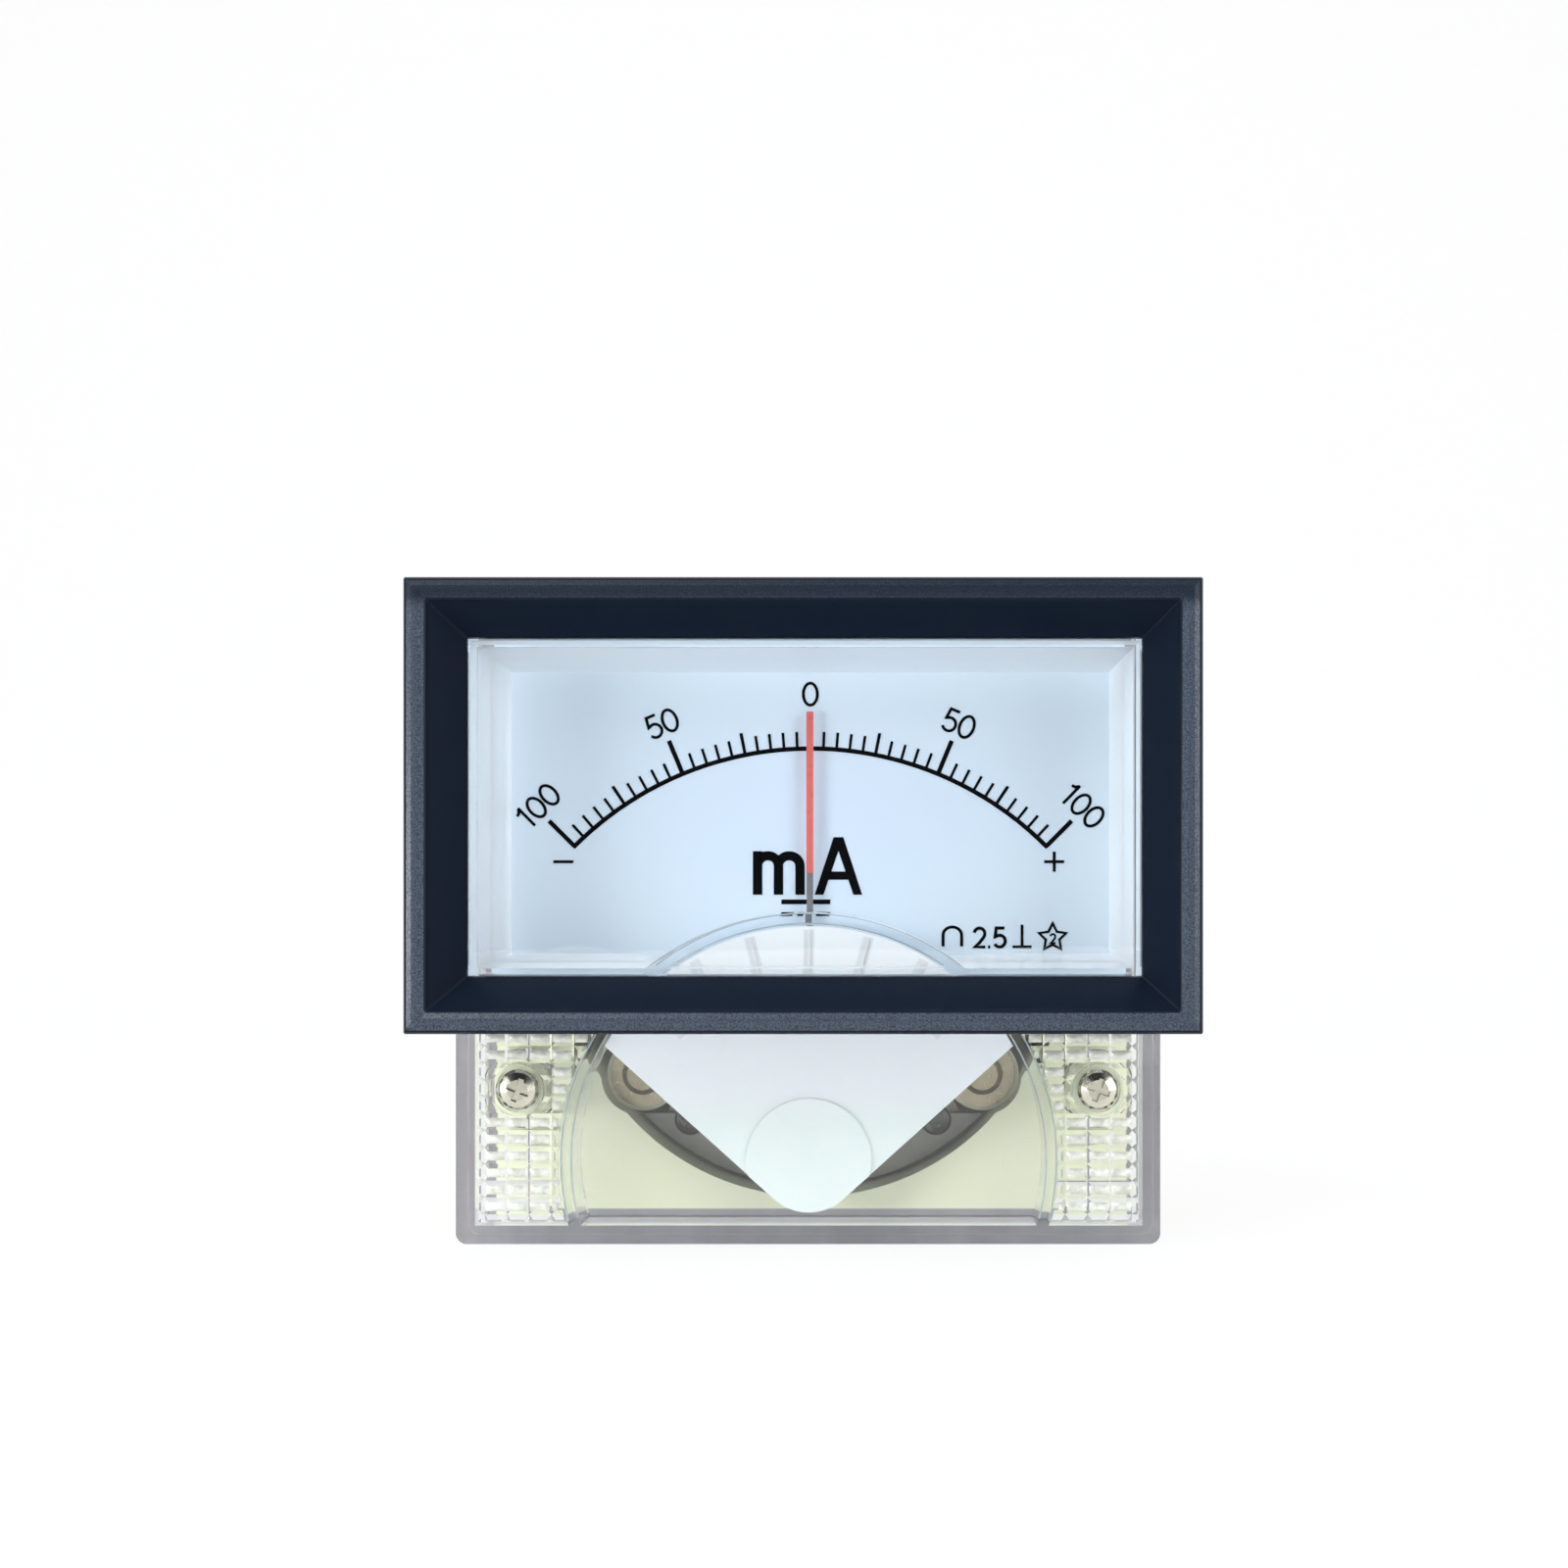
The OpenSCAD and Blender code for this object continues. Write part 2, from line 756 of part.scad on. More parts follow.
// Rectangular loop round the core, lying in the plane of the pivot axis.
module coil_loop(inset, t) {
    half = coil_in_r + inset;
    y0 = yoke_y - coil_gap - inset;
    y1 = yoke_y + core_l + coil_gap + inset;
    translate([0, 0, pivot_z])
        linear_extrude(coil_w - inset / 2, center = true)
            difference() {
                translate([-half - t, y0 - t])
                    square([2 * (half + t), y1 - y0 + 2 * t]);
                translate([-half, y0])
                    square([2 * half, y1 - y0]);
            }
}

module coil_former() {
    color("#c4c8cc")
        coil_loop(0, former_t);
}

module coil_winding() {
    color("#b5651d")
        coil_loop(former_t, wind_t);
}

module pivot_staffs() {
    front_tip = bridge_y + bridge_t + 0.2 - cup_d + run_gap;
    rear_tip = rear_bridge_y - 0.2 + cup_d - run_gap;
    color("#e8e8ea") {
        turned([0, pivot_z], [[0, front_tip], [staff_r, front_tip + 1], [staff_r, coil_front], [0, coil_front]]);
        turned([0, pivot_z], [[0, coil_back], [staff_r, coil_back], [staff_r, rear_tip - 1], [0, rear_tip]]);
    }
}

// Hub, cross arms and cranked stem of the pointer; the stem passes in front of the dial.
module pointer_arm() {
    stem_end = pointer_l - red_l;
    color("#dfe2e4")
        translate([0, 0, pivot_z]) {
            difference() {
                union() {
                    rod([0, 0], 1.1, arm_y - arm_t - 0.2, arm_y + 0.3);
                    translate([-arm_w / 2, arm_y - arm_t, -tail_l])
                        cube([arm_w, arm_t, tail_l + crank_r + arm_t]);
                    translate([-side_l, arm_y - arm_t, -arm_w / 2])
                        cube([2 * side_l, arm_t, arm_w]);
                    translate([-arm_w / 2, pointer_y, crank_r])
                        cube([arm_w, arm_y - pointer_y, arm_t]);
                    translate([-arm_w / 2, pointer_y, crank_r])
                        cube([arm_w, pointer_t, stem_end - crank_r]);
                }
                rod([0, 0], staff_r, arm_y - 2, arm_y + 1);
            }
        }
}

module pointer_blade() {
    color("#e0443c")
        translate([-pointer_w / 2, pointer_y - 0.02, pivot_z + pointer_l - red_l])
            cube([pointer_w, pointer_t, red_l]);
}

module balance_weights() {
    color("#9a9da0")
        translate([0, arm_y - arm_t / 2, pivot_z])
            for (a = [[0, tail_l], [90, side_l], [-90, side_l]])
                rotate([0, 180 + a[0], 0])
                    translate([0, 0, a[1]])
                        cylinder(r = weight_r, h = 0.8);
}

// Flat spiral from radius r0 to r1, ending upright above the pivot.
function spiral(r0, r1, turns, side) = [for (i = [0 : 20 * turns])
    let (a = i * 18, r = r0 + (r1 - r0) * i / (20 * turns) + side) [r * sin(a), r * cos(a)]];

module hairspring(at_y) {
    turns = 3;
    outer = spiral(spring_in, spring_out, turns, 0);
    inner = spiral(spring_in, spring_out, turns, -spring_t);
    color("#b08030")
        translate([0, 0, pivot_z])
            slab(at_y, at_y + spring_h)
                polygon(concat(outer, [for (i = [len(inner) - 1 : -1 : 0]) inner[i]]));
}

module front_hairspring() { hairspring(spring_y); }

module rear_hairspring() { hairspring(rear_spring_y); }

// Forked lever that turns round the rear jewel screw and carries the rear spring's outer end.
module zero_lever() {
    slot_w = 2 * (zero_pin_r + 0.15);
    color("#c8a85a")
        translate([0, 0, pivot_z]) {
            slab(lever_y, lever_y + lever_t)
                difference() {
                    union() {
                        circle(2.2);
                        translate([-slot_w / 2 - 0.8, -zero_r - 0.4])
                            square([slot_w + 1.6, zero_r + 0.4]);
                        translate([-0.5, 0])
                            square([1, spring_out + 0.6]);
                    }
                    circle(jewel_r + run_gap);
                    translate([-slot_w / 2, -zero_r - 1])
                        square([slot_w, zero_r + 1 - 3.6]);
                }
            translate([-0.5, rear_spring_y, spring_out])
                cube([1, lever_y - rear_spring_y, 0.6]);
        }
}

// Slotted screw in the back of the base; its off-centre pin moves the lever.
module zero_adjuster() {
    color("#2b2e33")
        difference() {
            union() {
                rod([0, zero_z], zero_hub_r, floor_y - 0.6, barrel_back + 0.4);
                rod([0, zero_z], zero_hub_r + 0.7, barrel_back + 0.1, barrel_back + 1.2);
                rod([0, zero_z], zero_hub_r + 0.6, floor_y - 1.2, floor_y - 0.1);
                rod([0, zero_z + pin_off], zero_pin_r, lever_y - 0.4, floor_y - 1);
            }
            translate([0, barrel_back + 1.2, zero_z])
                cube([2 * zero_hub_r + 3, 1.2, 0.8], center = true);
        }
}

// Threaded studs: a slimmer tip starts the nuts.
module terminal_studs() {
    bevel = 0.5;
    tip_r = stud_r - 0.4;
    stud_front = boss_front - 1.4;
    stud_end = barrel_back + stud_out;
    color("#d2b25a")
        for (at = terminals)
            turned(at, [
                [0, stud_front], [stud_r - bevel, stud_front], [stud_r, stud_front + bevel],
                [stud_r, stud_end - stud_tip], [tip_r, stud_end - stud_tip],
                [tip_r, stud_end - bevel], [tip_r - bevel, stud_end], [0, stud_end]]);
}

module solder_lugs() {
    color("#cfcfc8")
        for (at = terminals)
            slab(boss_front - lug_t, boss_front)
                translate(at)
                    difference() {
                        union() {
                            circle(stud_r + 1.2);
                            translate([-0.8, 0])
                                square([1.6, 6.4]);
                        }
                        circle(stud_r + 0.02);
                        translate([0, 5.4])
                            circle(0.45);
                    }
}

// Straight round piece from point a to point b.
module strand(a, b, r) {
    d = b - a;
    translate(a)
        rotate([0, acos(d[2] / norm(d)), atan2(d[1], d[0])])
            cylinder(r = r, h = norm(d));
}

module lead_wires() {
    color("#b02020")
        for (s = [-1, 1])
            strand(
                [s * stud_x, boss_front - lug_t - wire_r - 0.1, terminals[0][1] + 5.4],
                [s * (pillar_x + 1.9), bridge_y + bridge_t + 0.7, pivot_z + 0.6], wire_r);
}

// Washer or nut stack behind the barrel: one set clamps the stud, the other takes a wire.
module ring(at, r_in, r_out, y0, y1, sides) {
    slab(y0, y1)
        translate(at)
            difference() {
                circle(r_out, $fn = sides);
                circle(r_in);
            }
}

module terminal_nuts() {
    color("#d2b25a")
        for (at = terminals, y0 = [nut_y, outer_nut_y])
            ring(at, stud_r + 0.02, nut_af / 2 / cos(30), y0, y0 + nut_t, 6);
}

module flat_washers() {
    color("#cfcfc8")
        for (at = terminals, y0 = [barrel_back, nut_y + nut_t])
            ring(at, stud_r + 0.15, stud_r + 2.2, y0, y0 + washer_t, 96);
}

module spring_washers() {
    color("#a9acae")
        for (at = terminals)
            difference() {
                ring(at, stud_r + 0.1, stud_r + 1.5, outer_nut_y - 1, outer_nut_y, 96);
                translate([at[0], outer_nut_y - 0.5, at[1] + stud_r + 0.8])
                    rotate([0, 0, 30])
                        cube([0.4, 4, 2.4], center = true);
            }
}

bezel_frame();
front_cover();
fan_mask();
dial_plate();
scale_print();
dial_screws();
pointer_stops();
base_housing();
cover_screw_left();
cover_screw_right();
movement_frame();
frame_screws();
yoke_ring();
core_magnet();
core_supports();
front_bridge();
rear_bridge();
bridge_screws();
front_jewel_screw();
rear_jewel_screw();
coil_former();
coil_winding();
pivot_staffs();
pointer_arm();
pointer_blade();
balance_weights();
front_hairspring();
rear_hairspring();
zero_lever();
zero_adjuster();
terminal_studs();
solder_lugs();
lead_wires();
terminal_nuts();
flat_washers();
spring_washers();
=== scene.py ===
"""Looks of an analog panel meter, built as an add-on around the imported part."""

import json
import math

import bmesh
import bpy
from bpy.props import FloatProperty, FloatVectorProperty, PointerProperty
from mathutils import Matrix, Vector


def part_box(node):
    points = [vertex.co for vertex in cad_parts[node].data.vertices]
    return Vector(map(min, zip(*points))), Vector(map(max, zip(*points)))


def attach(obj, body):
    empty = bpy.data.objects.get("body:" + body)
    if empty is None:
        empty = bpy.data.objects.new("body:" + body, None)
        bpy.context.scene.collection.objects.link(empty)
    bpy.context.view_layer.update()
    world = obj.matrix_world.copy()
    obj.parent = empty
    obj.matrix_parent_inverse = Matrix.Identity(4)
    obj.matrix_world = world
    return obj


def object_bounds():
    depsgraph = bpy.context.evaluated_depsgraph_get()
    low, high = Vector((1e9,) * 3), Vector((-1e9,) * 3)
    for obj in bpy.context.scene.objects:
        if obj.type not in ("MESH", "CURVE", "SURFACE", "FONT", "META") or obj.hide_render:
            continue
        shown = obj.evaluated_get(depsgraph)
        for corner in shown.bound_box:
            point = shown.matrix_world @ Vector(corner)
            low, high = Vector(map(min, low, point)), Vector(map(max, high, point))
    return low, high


bl_info = {
    "name": "Analog panel meter looks",
    "version": (1, 0, 0),
    "blender": (4, 5, 0),
    "location": "View3D > Sidebar > Meter",
    "description": "Finishes, print and small parts of an analog panel meter",
    "category": "Object",
}

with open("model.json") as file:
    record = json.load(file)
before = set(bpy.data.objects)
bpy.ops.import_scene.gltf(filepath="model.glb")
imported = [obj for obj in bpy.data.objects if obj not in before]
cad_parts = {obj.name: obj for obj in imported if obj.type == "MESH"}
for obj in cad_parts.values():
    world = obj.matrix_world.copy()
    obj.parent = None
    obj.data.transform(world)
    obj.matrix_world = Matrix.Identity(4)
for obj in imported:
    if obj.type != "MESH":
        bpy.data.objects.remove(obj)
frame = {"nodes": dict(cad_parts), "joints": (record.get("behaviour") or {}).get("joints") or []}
NODES = frame["nodes"]
CAD_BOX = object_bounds()

MM = 0.001

# Round shroud of the clear cover and the fan inside it, in millimetres: radii, wall and axis.
SHROUD_R, SHROUD_WALL, FAN_R = 23.1, 1.1, 21.8
SHROUD_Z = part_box("fan_mask")[1].z / MM - FAN_R
# Where the dial's window ends below, in millimetres.
WINDOW_LOW = -14.3


# --- materials ---------------------------------------------------------------


class Value:
    """One number of a material's node tree. Arithmetic on it adds Math nodes."""

    def __init__(self, finish, socket):
        self.finish = finish
        self.socket = socket

    def _math(self, operation, first, second=None):
        inputs = {0: first} if second is None else {0: first, 1: second}
        return self.finish.node("ShaderNodeMath", {"operation": operation}, inputs, 0)

    def __add__(self, other):
        return self._math("ADD", self, other)

    def __sub__(self, other):
        return self._math("SUBTRACT", self, other)

    def __rsub__(self, other):
        return self._math("SUBTRACT", other, self)

    def __mul__(self, other):
        return self._math("MULTIPLY", self, other)

    def __truediv__(self, other):
        return self._math("DIVIDE", self, other)

    def __abs__(self):
        return self._math("ABSOLUTE", self)

    def __gt__(self, other):
        return self._math("GREATER_THAN", self, other)

    def __lt__(self, other):
        return self._math("LESS_THAN", self, other)

    __radd__ = __add__
    __rmul__ = __mul__

    def power(self, exponent):
        return self._math("POWER", self, exponent)

    def greatest(self, other):
        return self._math("MAXIMUM", self, other)

    def wave(self):
        return self._math("SINE", self)


class Nodes:
    """A node tree to which nodes are added by their type."""

    shader = None

    def __init__(self, owner):
        owner.use_nodes = True
        self.tree = owner.node_tree

    def set(self, name, value, node=None):
        """Gives a socket a value, a colour or a link."""
        socket = (node or self.shader).inputs[name]
        if isinstance(value, Value):
            self.tree.links.new(value.socket, socket)
        elif isinstance(value, bpy.types.NodeSocket):
            self.tree.links.new(value, socket)
        elif socket.type == "RGBA" and len(value) == 3:
            socket.default_value = (*value, 1.0)
        else:
            socket.default_value = value

    def node(self, kind, settings, inputs, output):
        """Adds a node: its type, its settings, then its inputs. Returns one output."""
        node = self.tree.nodes.new(kind)
        for key, value in settings.items():
            if key == "stops":
                ramp = node.color_ramp
                for index, (position, colour) in enumerate(value):
                    stop = ramp.elements[index] if index < 2 else ramp.elements.new(position)
                    stop.position = position
                    stop.color = (*colour, 1.0)
            else:
                setattr(node, key, value)
        for key, value in inputs.items():
            self.set(key, value, node)
        return Value(self, node.outputs[output])


class Finish(Nodes):
    """A material, with its shader's own sockets by keyword."""

    def __init__(self, name, colour, roughness=0.5, **sockets):
        self.material = bpy.data.materials.new(name)
        super().__init__(self.material)
        self.shader = self.tree.nodes["Principled BSDF"]
        self.place_mm = None
        self.set("Base Color", colour)
        self.set("Roughness", roughness)
        for key, value in sockets.items():
            self.set(key.replace("_", " ").title().replace("Ior", "IOR"), value)

    def place(self):
        """The point on the surface, in the part's own frame, in millimetres."""
        if self.place_mm is None:
            point = self.node("ShaderNodeTexCoord", {}, {}, "Object")
            self.place_mm = self.node(
                "ShaderNodeVectorMath", {"operation": "SCALE"}, {0: point, "Scale": 1 / MM}, 0
            )
        return self.place_mm

    def axis(self, letter):
        """One coordinate of the point on the surface, in millimetres."""
        return self.node("ShaderNodeSeparateXYZ", {}, {0: self.place()}, letter)

    def facing(self, letter):
        """How far the surface faces along an axis of the part, from -1 to 1."""
        normal = self.node("ShaderNodeTexCoord", {}, {}, "Normal")
        return self.node("ShaderNodeSeparateXYZ", {}, {0: normal}, letter)

    def noise(self, per_mm, detail=2.0, stretch=None):
        """Soft random spots, so many to a millimetre, stretched along the axes if asked."""
        point = self.place()
        if stretch:
            point = self.node(
                "ShaderNodeVectorMath", {"operation": "MULTIPLY"}, {0: point, 1: stretch}, 0
            )
        return self.node(
            "ShaderNodeTexNoise", {}, {"Vector": point, "Scale": per_mm, "Detail": detail}, "Fac"
        )

    def mix(self, factor, first, second):
        """A colour between two, by a factor that changes over the surface."""
        return self.node(
            "ShaderNodeMix", {"data_type": "RGBA"}, {0: factor, 6: first, 7: second}, 2
        )

    def band(self, value, low, high):
        """0 below low, 1 above high, and smooth between."""
        return self.node(
            "ShaderNodeMapRange",
            {"interpolation_type": "SMOOTHSTEP"},
            {"Value": value, "From Min": low, "From Max": high},
            "Result",
        )

    def bump(self, height, depth_mm, strength=1.0):
        """Raises the surface by a height from 0 to 1, with its full depth in millimetres."""
        inputs = {"Height": height, "Distance": depth_mm * MM, "Strength": strength}
        self.set("Normal", self.node("ShaderNodeBump", {}, inputs, "Normal"))

    def let_light_through(self, tint):
        """Light from lamps and from the pieces inside passes with only a tint."""
        ray = [
            self.node("ShaderNodeLightPath", {}, {}, kind)
            for kind in ("Is Shadow Ray", "Is Diffuse Ray")
        ]
        bare = self.node("ShaderNodeBsdfTransparent", {}, {"Color": (*tint, 1.0)}, 0)
        self.blend(ray[0].greatest(ray[1]), bare)

    def show_white(self, share):
        """The camera sees plain white mixed in, straight on, in a mirror or through glass."""
        ray = [
            self.node("ShaderNodeLightPath", {}, {}, kind)
            for kind in ("Is Camera Ray", "Is Glossy Ray", "Is Transmission Ray")
        ]
        white = self.node("ShaderNodeEmission", {}, {"Color": (1, 1, 1, 1)}, 0)
        self.blend(ray[0].greatest(ray[1]).greatest(ray[2]) * share, white)

    def blend(self, factor, other):
        """Mixes another shader over what the surface shows so far."""
        last = self.tree.nodes["Material Output"].inputs["Surface"]
        own = last.links[0].from_socket
        both = self.node("ShaderNodeMixShader", {}, {0: factor, 1: own, 2: other}, 0)
        self.set("Surface", both, self.tree.nodes["Material Output"])


def shade(*tones):
    """A colour as it is seen on a screen, 0 to 255, as the shader's linear colour."""
    return tuple(
        (t / 255 / 12.92) if t <= 10 else ((t / 255 + 0.055) / 1.055) ** 2.4 for t in tones
    )


def scaled(tone, share):
    """A darker or paler tone of a colour."""
    return tuple(min(1.0, c * share) for c in tone)


def dress(finish, *names):
    """Gives CAD nodes a finish."""
    for name in names:
        slots = NODES[name].data.materials
        slots.clear()
        slots.append(finish.material)


# --- sizes and colours a user would change -----------------------------------


def colour(name, description, default):
    return FloatVectorProperty(
        name=name, description=description, default=default, subtype="COLOR", min=0.0, max=1.0
    )


def length(name, description, default_mm):
    """A length, given in millimetres and kept in metres."""
    return FloatProperty(name=name, description=description, default=default_mm * MM, unit="LENGTH")


class MeterStage(bpy.types.PropertyGroup):
    """Camera, lamps and floor around the meter."""

    camera_x: length("Camera X", "How far the camera stands to the right of the window", 8.2)
    camera_z: length("Camera Z", "Height of the camera against the window", -8.4)
    camera_gap: length("Camera gap", "From the camera to the bezel's rim", 180.0)
    lens: FloatProperty(name="Lens", description="Focal length in millimetres", default=47.4)
    shift_x: FloatProperty(name="Shift X", description="Sideways shift of the lens", default=-0.072)
    shift_y: FloatProperty(name="Shift Y", description="Upward shift of the lens", default=0.075)
    sky: FloatProperty(name="Sky", description="Strength of the even light", default=1.0)
    lamp: FloatProperty(name="Lamps", description="Power of a soft lamp", default=0.8, unit="POWER")
    floor: colour("Floor", "Floor and backdrop", (0.93, 0.93, 0.93))


class MeterColours(bpy.types.PropertyGroup):
    """Colours of the mouldings, the print and the metal."""

    bezel: colour("Bezel", "Black moulding of the bezel", shade(14, 24, 38))
    # The rim's grain colour; along the top of the rim it is darkened by painted shade.
    bezel_rim: colour("Bezel rim", "Worn grain on the bezel's rim", shade(82, 92, 106))
    clear: colour("Clear", "Tint of the clear cover", (0.955, 0.968, 0.98))
    frost: colour("Frost", "Matt walls round the window", shade(246, 251, 255))
    # Near-white pillow colour, painted reflection for the silvery look of the clear pattern.
    facet_painted_reflection: colour("Facets", "Bright pillows in the pockets", shade(230, 232, 224))
    facet_shade: colour("Facet shade", "Duller parts of the pillows", shade(192, 195, 184))
    fan: colour("Fan", "White mask before the movement", shade(249, 252, 254))
    fan_boss: colour("Fan boss", "Round seat of the mask", shade(236, 244, 240))
    dial: colour("Dial", "Sheet behind the print", shade(222, 238, 255))
    ink: colour("Ink", "Screen ink of the dial", shade(3, 4, 6))
    base: colour("Base", "Cream moulding of the base", shade(246, 247, 216))
    # Painted shade seen through the clear walls, put on the base's front where the walls meet it.
    joint: colour("Joint", "Base behind the clear walls", shade(164, 160, 163))
    pointer: colour("Pointer", "Painted end of the pointer", shade(236, 116, 108))
    nickel: colour("Nickel", "Plated screws and nuts", (0.62, 0.6, 0.56))
    brass: colour("Brass", "Turned fittings", (0.72, 0.52, 0.2))


class MeterPockets(bpy.types.PropertyGroup):
    """Sizes of the pillows in the clear pockets."""

    step_x: length("Sideways step", "Between the middles of two columns", 2.07)
    step_z: length("Upright step", "Between the middles of two rows", 1.56)
    pillow_x: length("Pillow width", "Width of one pillow", 1.82)
    pillow_z: length("Pillow height", "Height of one pillow", 0.82)
    floor: length("Pocket floor", "Depth at which the pillows stand", 2.89)


class MeterThreads(bpy.types.PropertyGroup):
    """Sizes of the threads on the terminal studs."""

    stud_x: length("Stud X", "Distance of each stud from the middle", 16.5)
    pitch: length("Pitch", "From one turn to the next", 0.5)
    crest: length("Crest", "Outer radius of the thread", 1.82)
    root: length("Root", "Radius at which the thread starts", 1.57)


class MeterPrint(bpy.types.PropertyGroup):
    """Sizes of the numbers and signs on the dial."""

    number_radius: length("Number radius", "From the pivot to the middle of a number", 36.75)
    number_height: length("Number height", "Height of the scale's numbers", 2.3)
    weight: FloatProperty(
        name="Line weight", description="Width of a thin line against its height", default=0.12
    )
    sign_height: length("Sign height", "Height of the row of signs", 2.0)
    ink: length("Ink thickness", "Thickness of the printed ink", 0.05)


# --- finishes ----------------------------------------------------------------


def black_plastic(colours):
    """Glossy black slopes, with a finely grained rim whose grain is darkened along its top by
    painted shade.
    """
    f = Finish("black_plastic", colours.bezel, specular_ior_level=0.1, coat_roughness=0.22)
    rim = f.band(f.facing("Y") * -1, 0.88, 0.93)
    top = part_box("bezel_frame")[1].z / MM
    # Painted shade: the rim's grain is darkened towards the top edge of the bezel.
    painted_shade_at_top = 1 - f.band(f.axis("Z"), top - 3, top - 1.5) * 0.8
    cloud = f.noise(0.12, 3)
    grain = f.noise(7, 3)
    grain_and_top_shade = (f.band(grain, 0.3, 0.75) * 0.7 + 0.2) * painted_shade_at_top
    f.set("Base Color", f.mix(rim * grain_and_top_shade, colours.bezel, colours.bezel_rim))
    f.set("Roughness", cloud * 0.12 + rim * 0.15 + 0.16)
    f.set("Coat Weight", rim * (grain_and_top_shade * 0.55 + 0.02))
    f.bump(grain * rim + cloud * 0.2, 0.014, 0.6)
    return f


def clear_plastic(colours):
    """Clear moulding, with the faint ripple of a mould, and matt walls round the window."""
    f = Finish("clear_plastic", colours.clear, transmission_weight=1.0, ior=1.49)
    marks = f.band(f.noise(0.7, 5, (1, 1, 4)), 0.55, 0.8)
    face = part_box("front_cover")[0].y / MM
    side = 1 - f.band(abs(f.facing("Y")), 0.2, 0.4)
    inside = f.band(f.axis("Y"), face + 1.6, face + 1.9)
    above = f.band(f.axis("Z"), WINDOW_LOW + 0.8, WINDOW_LOW + 1.8)
    window_half = 30.2
    box = (abs(f.axis("X")) < window_half) * (f.axis("Z") > WINDOW_LOW - 0.9)
    wall = side * inside * box
    f.set("Roughness", wall * (above * 0.16 + 0.14) + marks * 0.04 + 0.01)
    f.bump(f.noise(0.25, 1), 0.012, 0.4)
    frost = {"Color": (*colours.frost, 1.0)}
    f.blend(wall * (above * 0.12 + 0.5), f.node("ShaderNodeBsdfDiffuse", {}, frost, 0))
    f.let_light_through(colours.clear)
    return f


def painted_reflection_facets(colours):
    """Pillows moulded into the clear pockets, near white, their silvery look painted reflection."""
    f = Finish("painted_reflection_facets", colours.facet_painted_reflection, 0.12, specular_ior_level=0.7)
    patch = f.noise(1.3, 3)
    # Painted reflection: near-white pillows, duller in random patches.
    f.set("Base Color", f.mix(f.band(patch, 0.3, 0.75), colours.facet_painted_reflection, colours.facet_shade))
    f.bump(patch, 0.04, 0.5)
    return f


def moulded_edge(colours):
    """Frosted edge of a clear wall."""
    f = Finish("moulded_edge", shade(176, 188, 194), 0.3)
    patch = f.noise(0.6, 3)
    f.set("Base Color", f.mix(patch, shade(196, 206, 210), shade(150, 162, 170)))
    return f


def white_plastic(colours):
    """Milky white moulding of the mask, a little greener on its boss, with painted shade along its
    radial ribs.
    """
    f = Finish("white_plastic", colours.fan, subsurface_weight=0.12, subsurface_scale=0.002)
    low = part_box("fan_mask")[0].z / MM
    boss = 1 - f.band(f.axis("Z"), low + 8, low + 12)
    x, z = f.axis("X"), f.axis("Z") - SHROUD_Z
    away = (x * x + z * z).power(0.5)
    rib_painted_shade, pitch, rib_half, rib_long = 0.0, 15, 0.5, 5.4
    for turn in (math.radians(pitch * i) for i in range(-3, 4)):
        beside = abs(x * math.cos(turn) - z * math.sin(turn))
        rib_painted_shade = (1 - f.band(beside, rib_half - 0.08, rib_half + 0.08)).greatest(rib_painted_shade)
    inner, outer = FAN_R - rib_long, FAN_R - 0.3
    rib_painted_shade = rib_painted_shade * f.band(away, inner - 0.1, inner + 0.1) * f.band(z, 0, 1)
    rib_painted_shade = rib_painted_shade * (1 - f.band(away, outer - 0.1, outer + 0.1))
    plain = f.mix(boss, colours.fan, colours.fan_boss)
    # Painted shade: the fan darkened to 0.84 along the radial ribs.
    f.set("Base Color", f.mix(rib_painted_shade, plain, scaled(colours.fan, 0.84)))
    f.set("Roughness", f.noise(0.5, 3) * 0.15 + 0.25)
    f.bump(f.noise(0.3, 2), 0.02, 0.3)
    return f


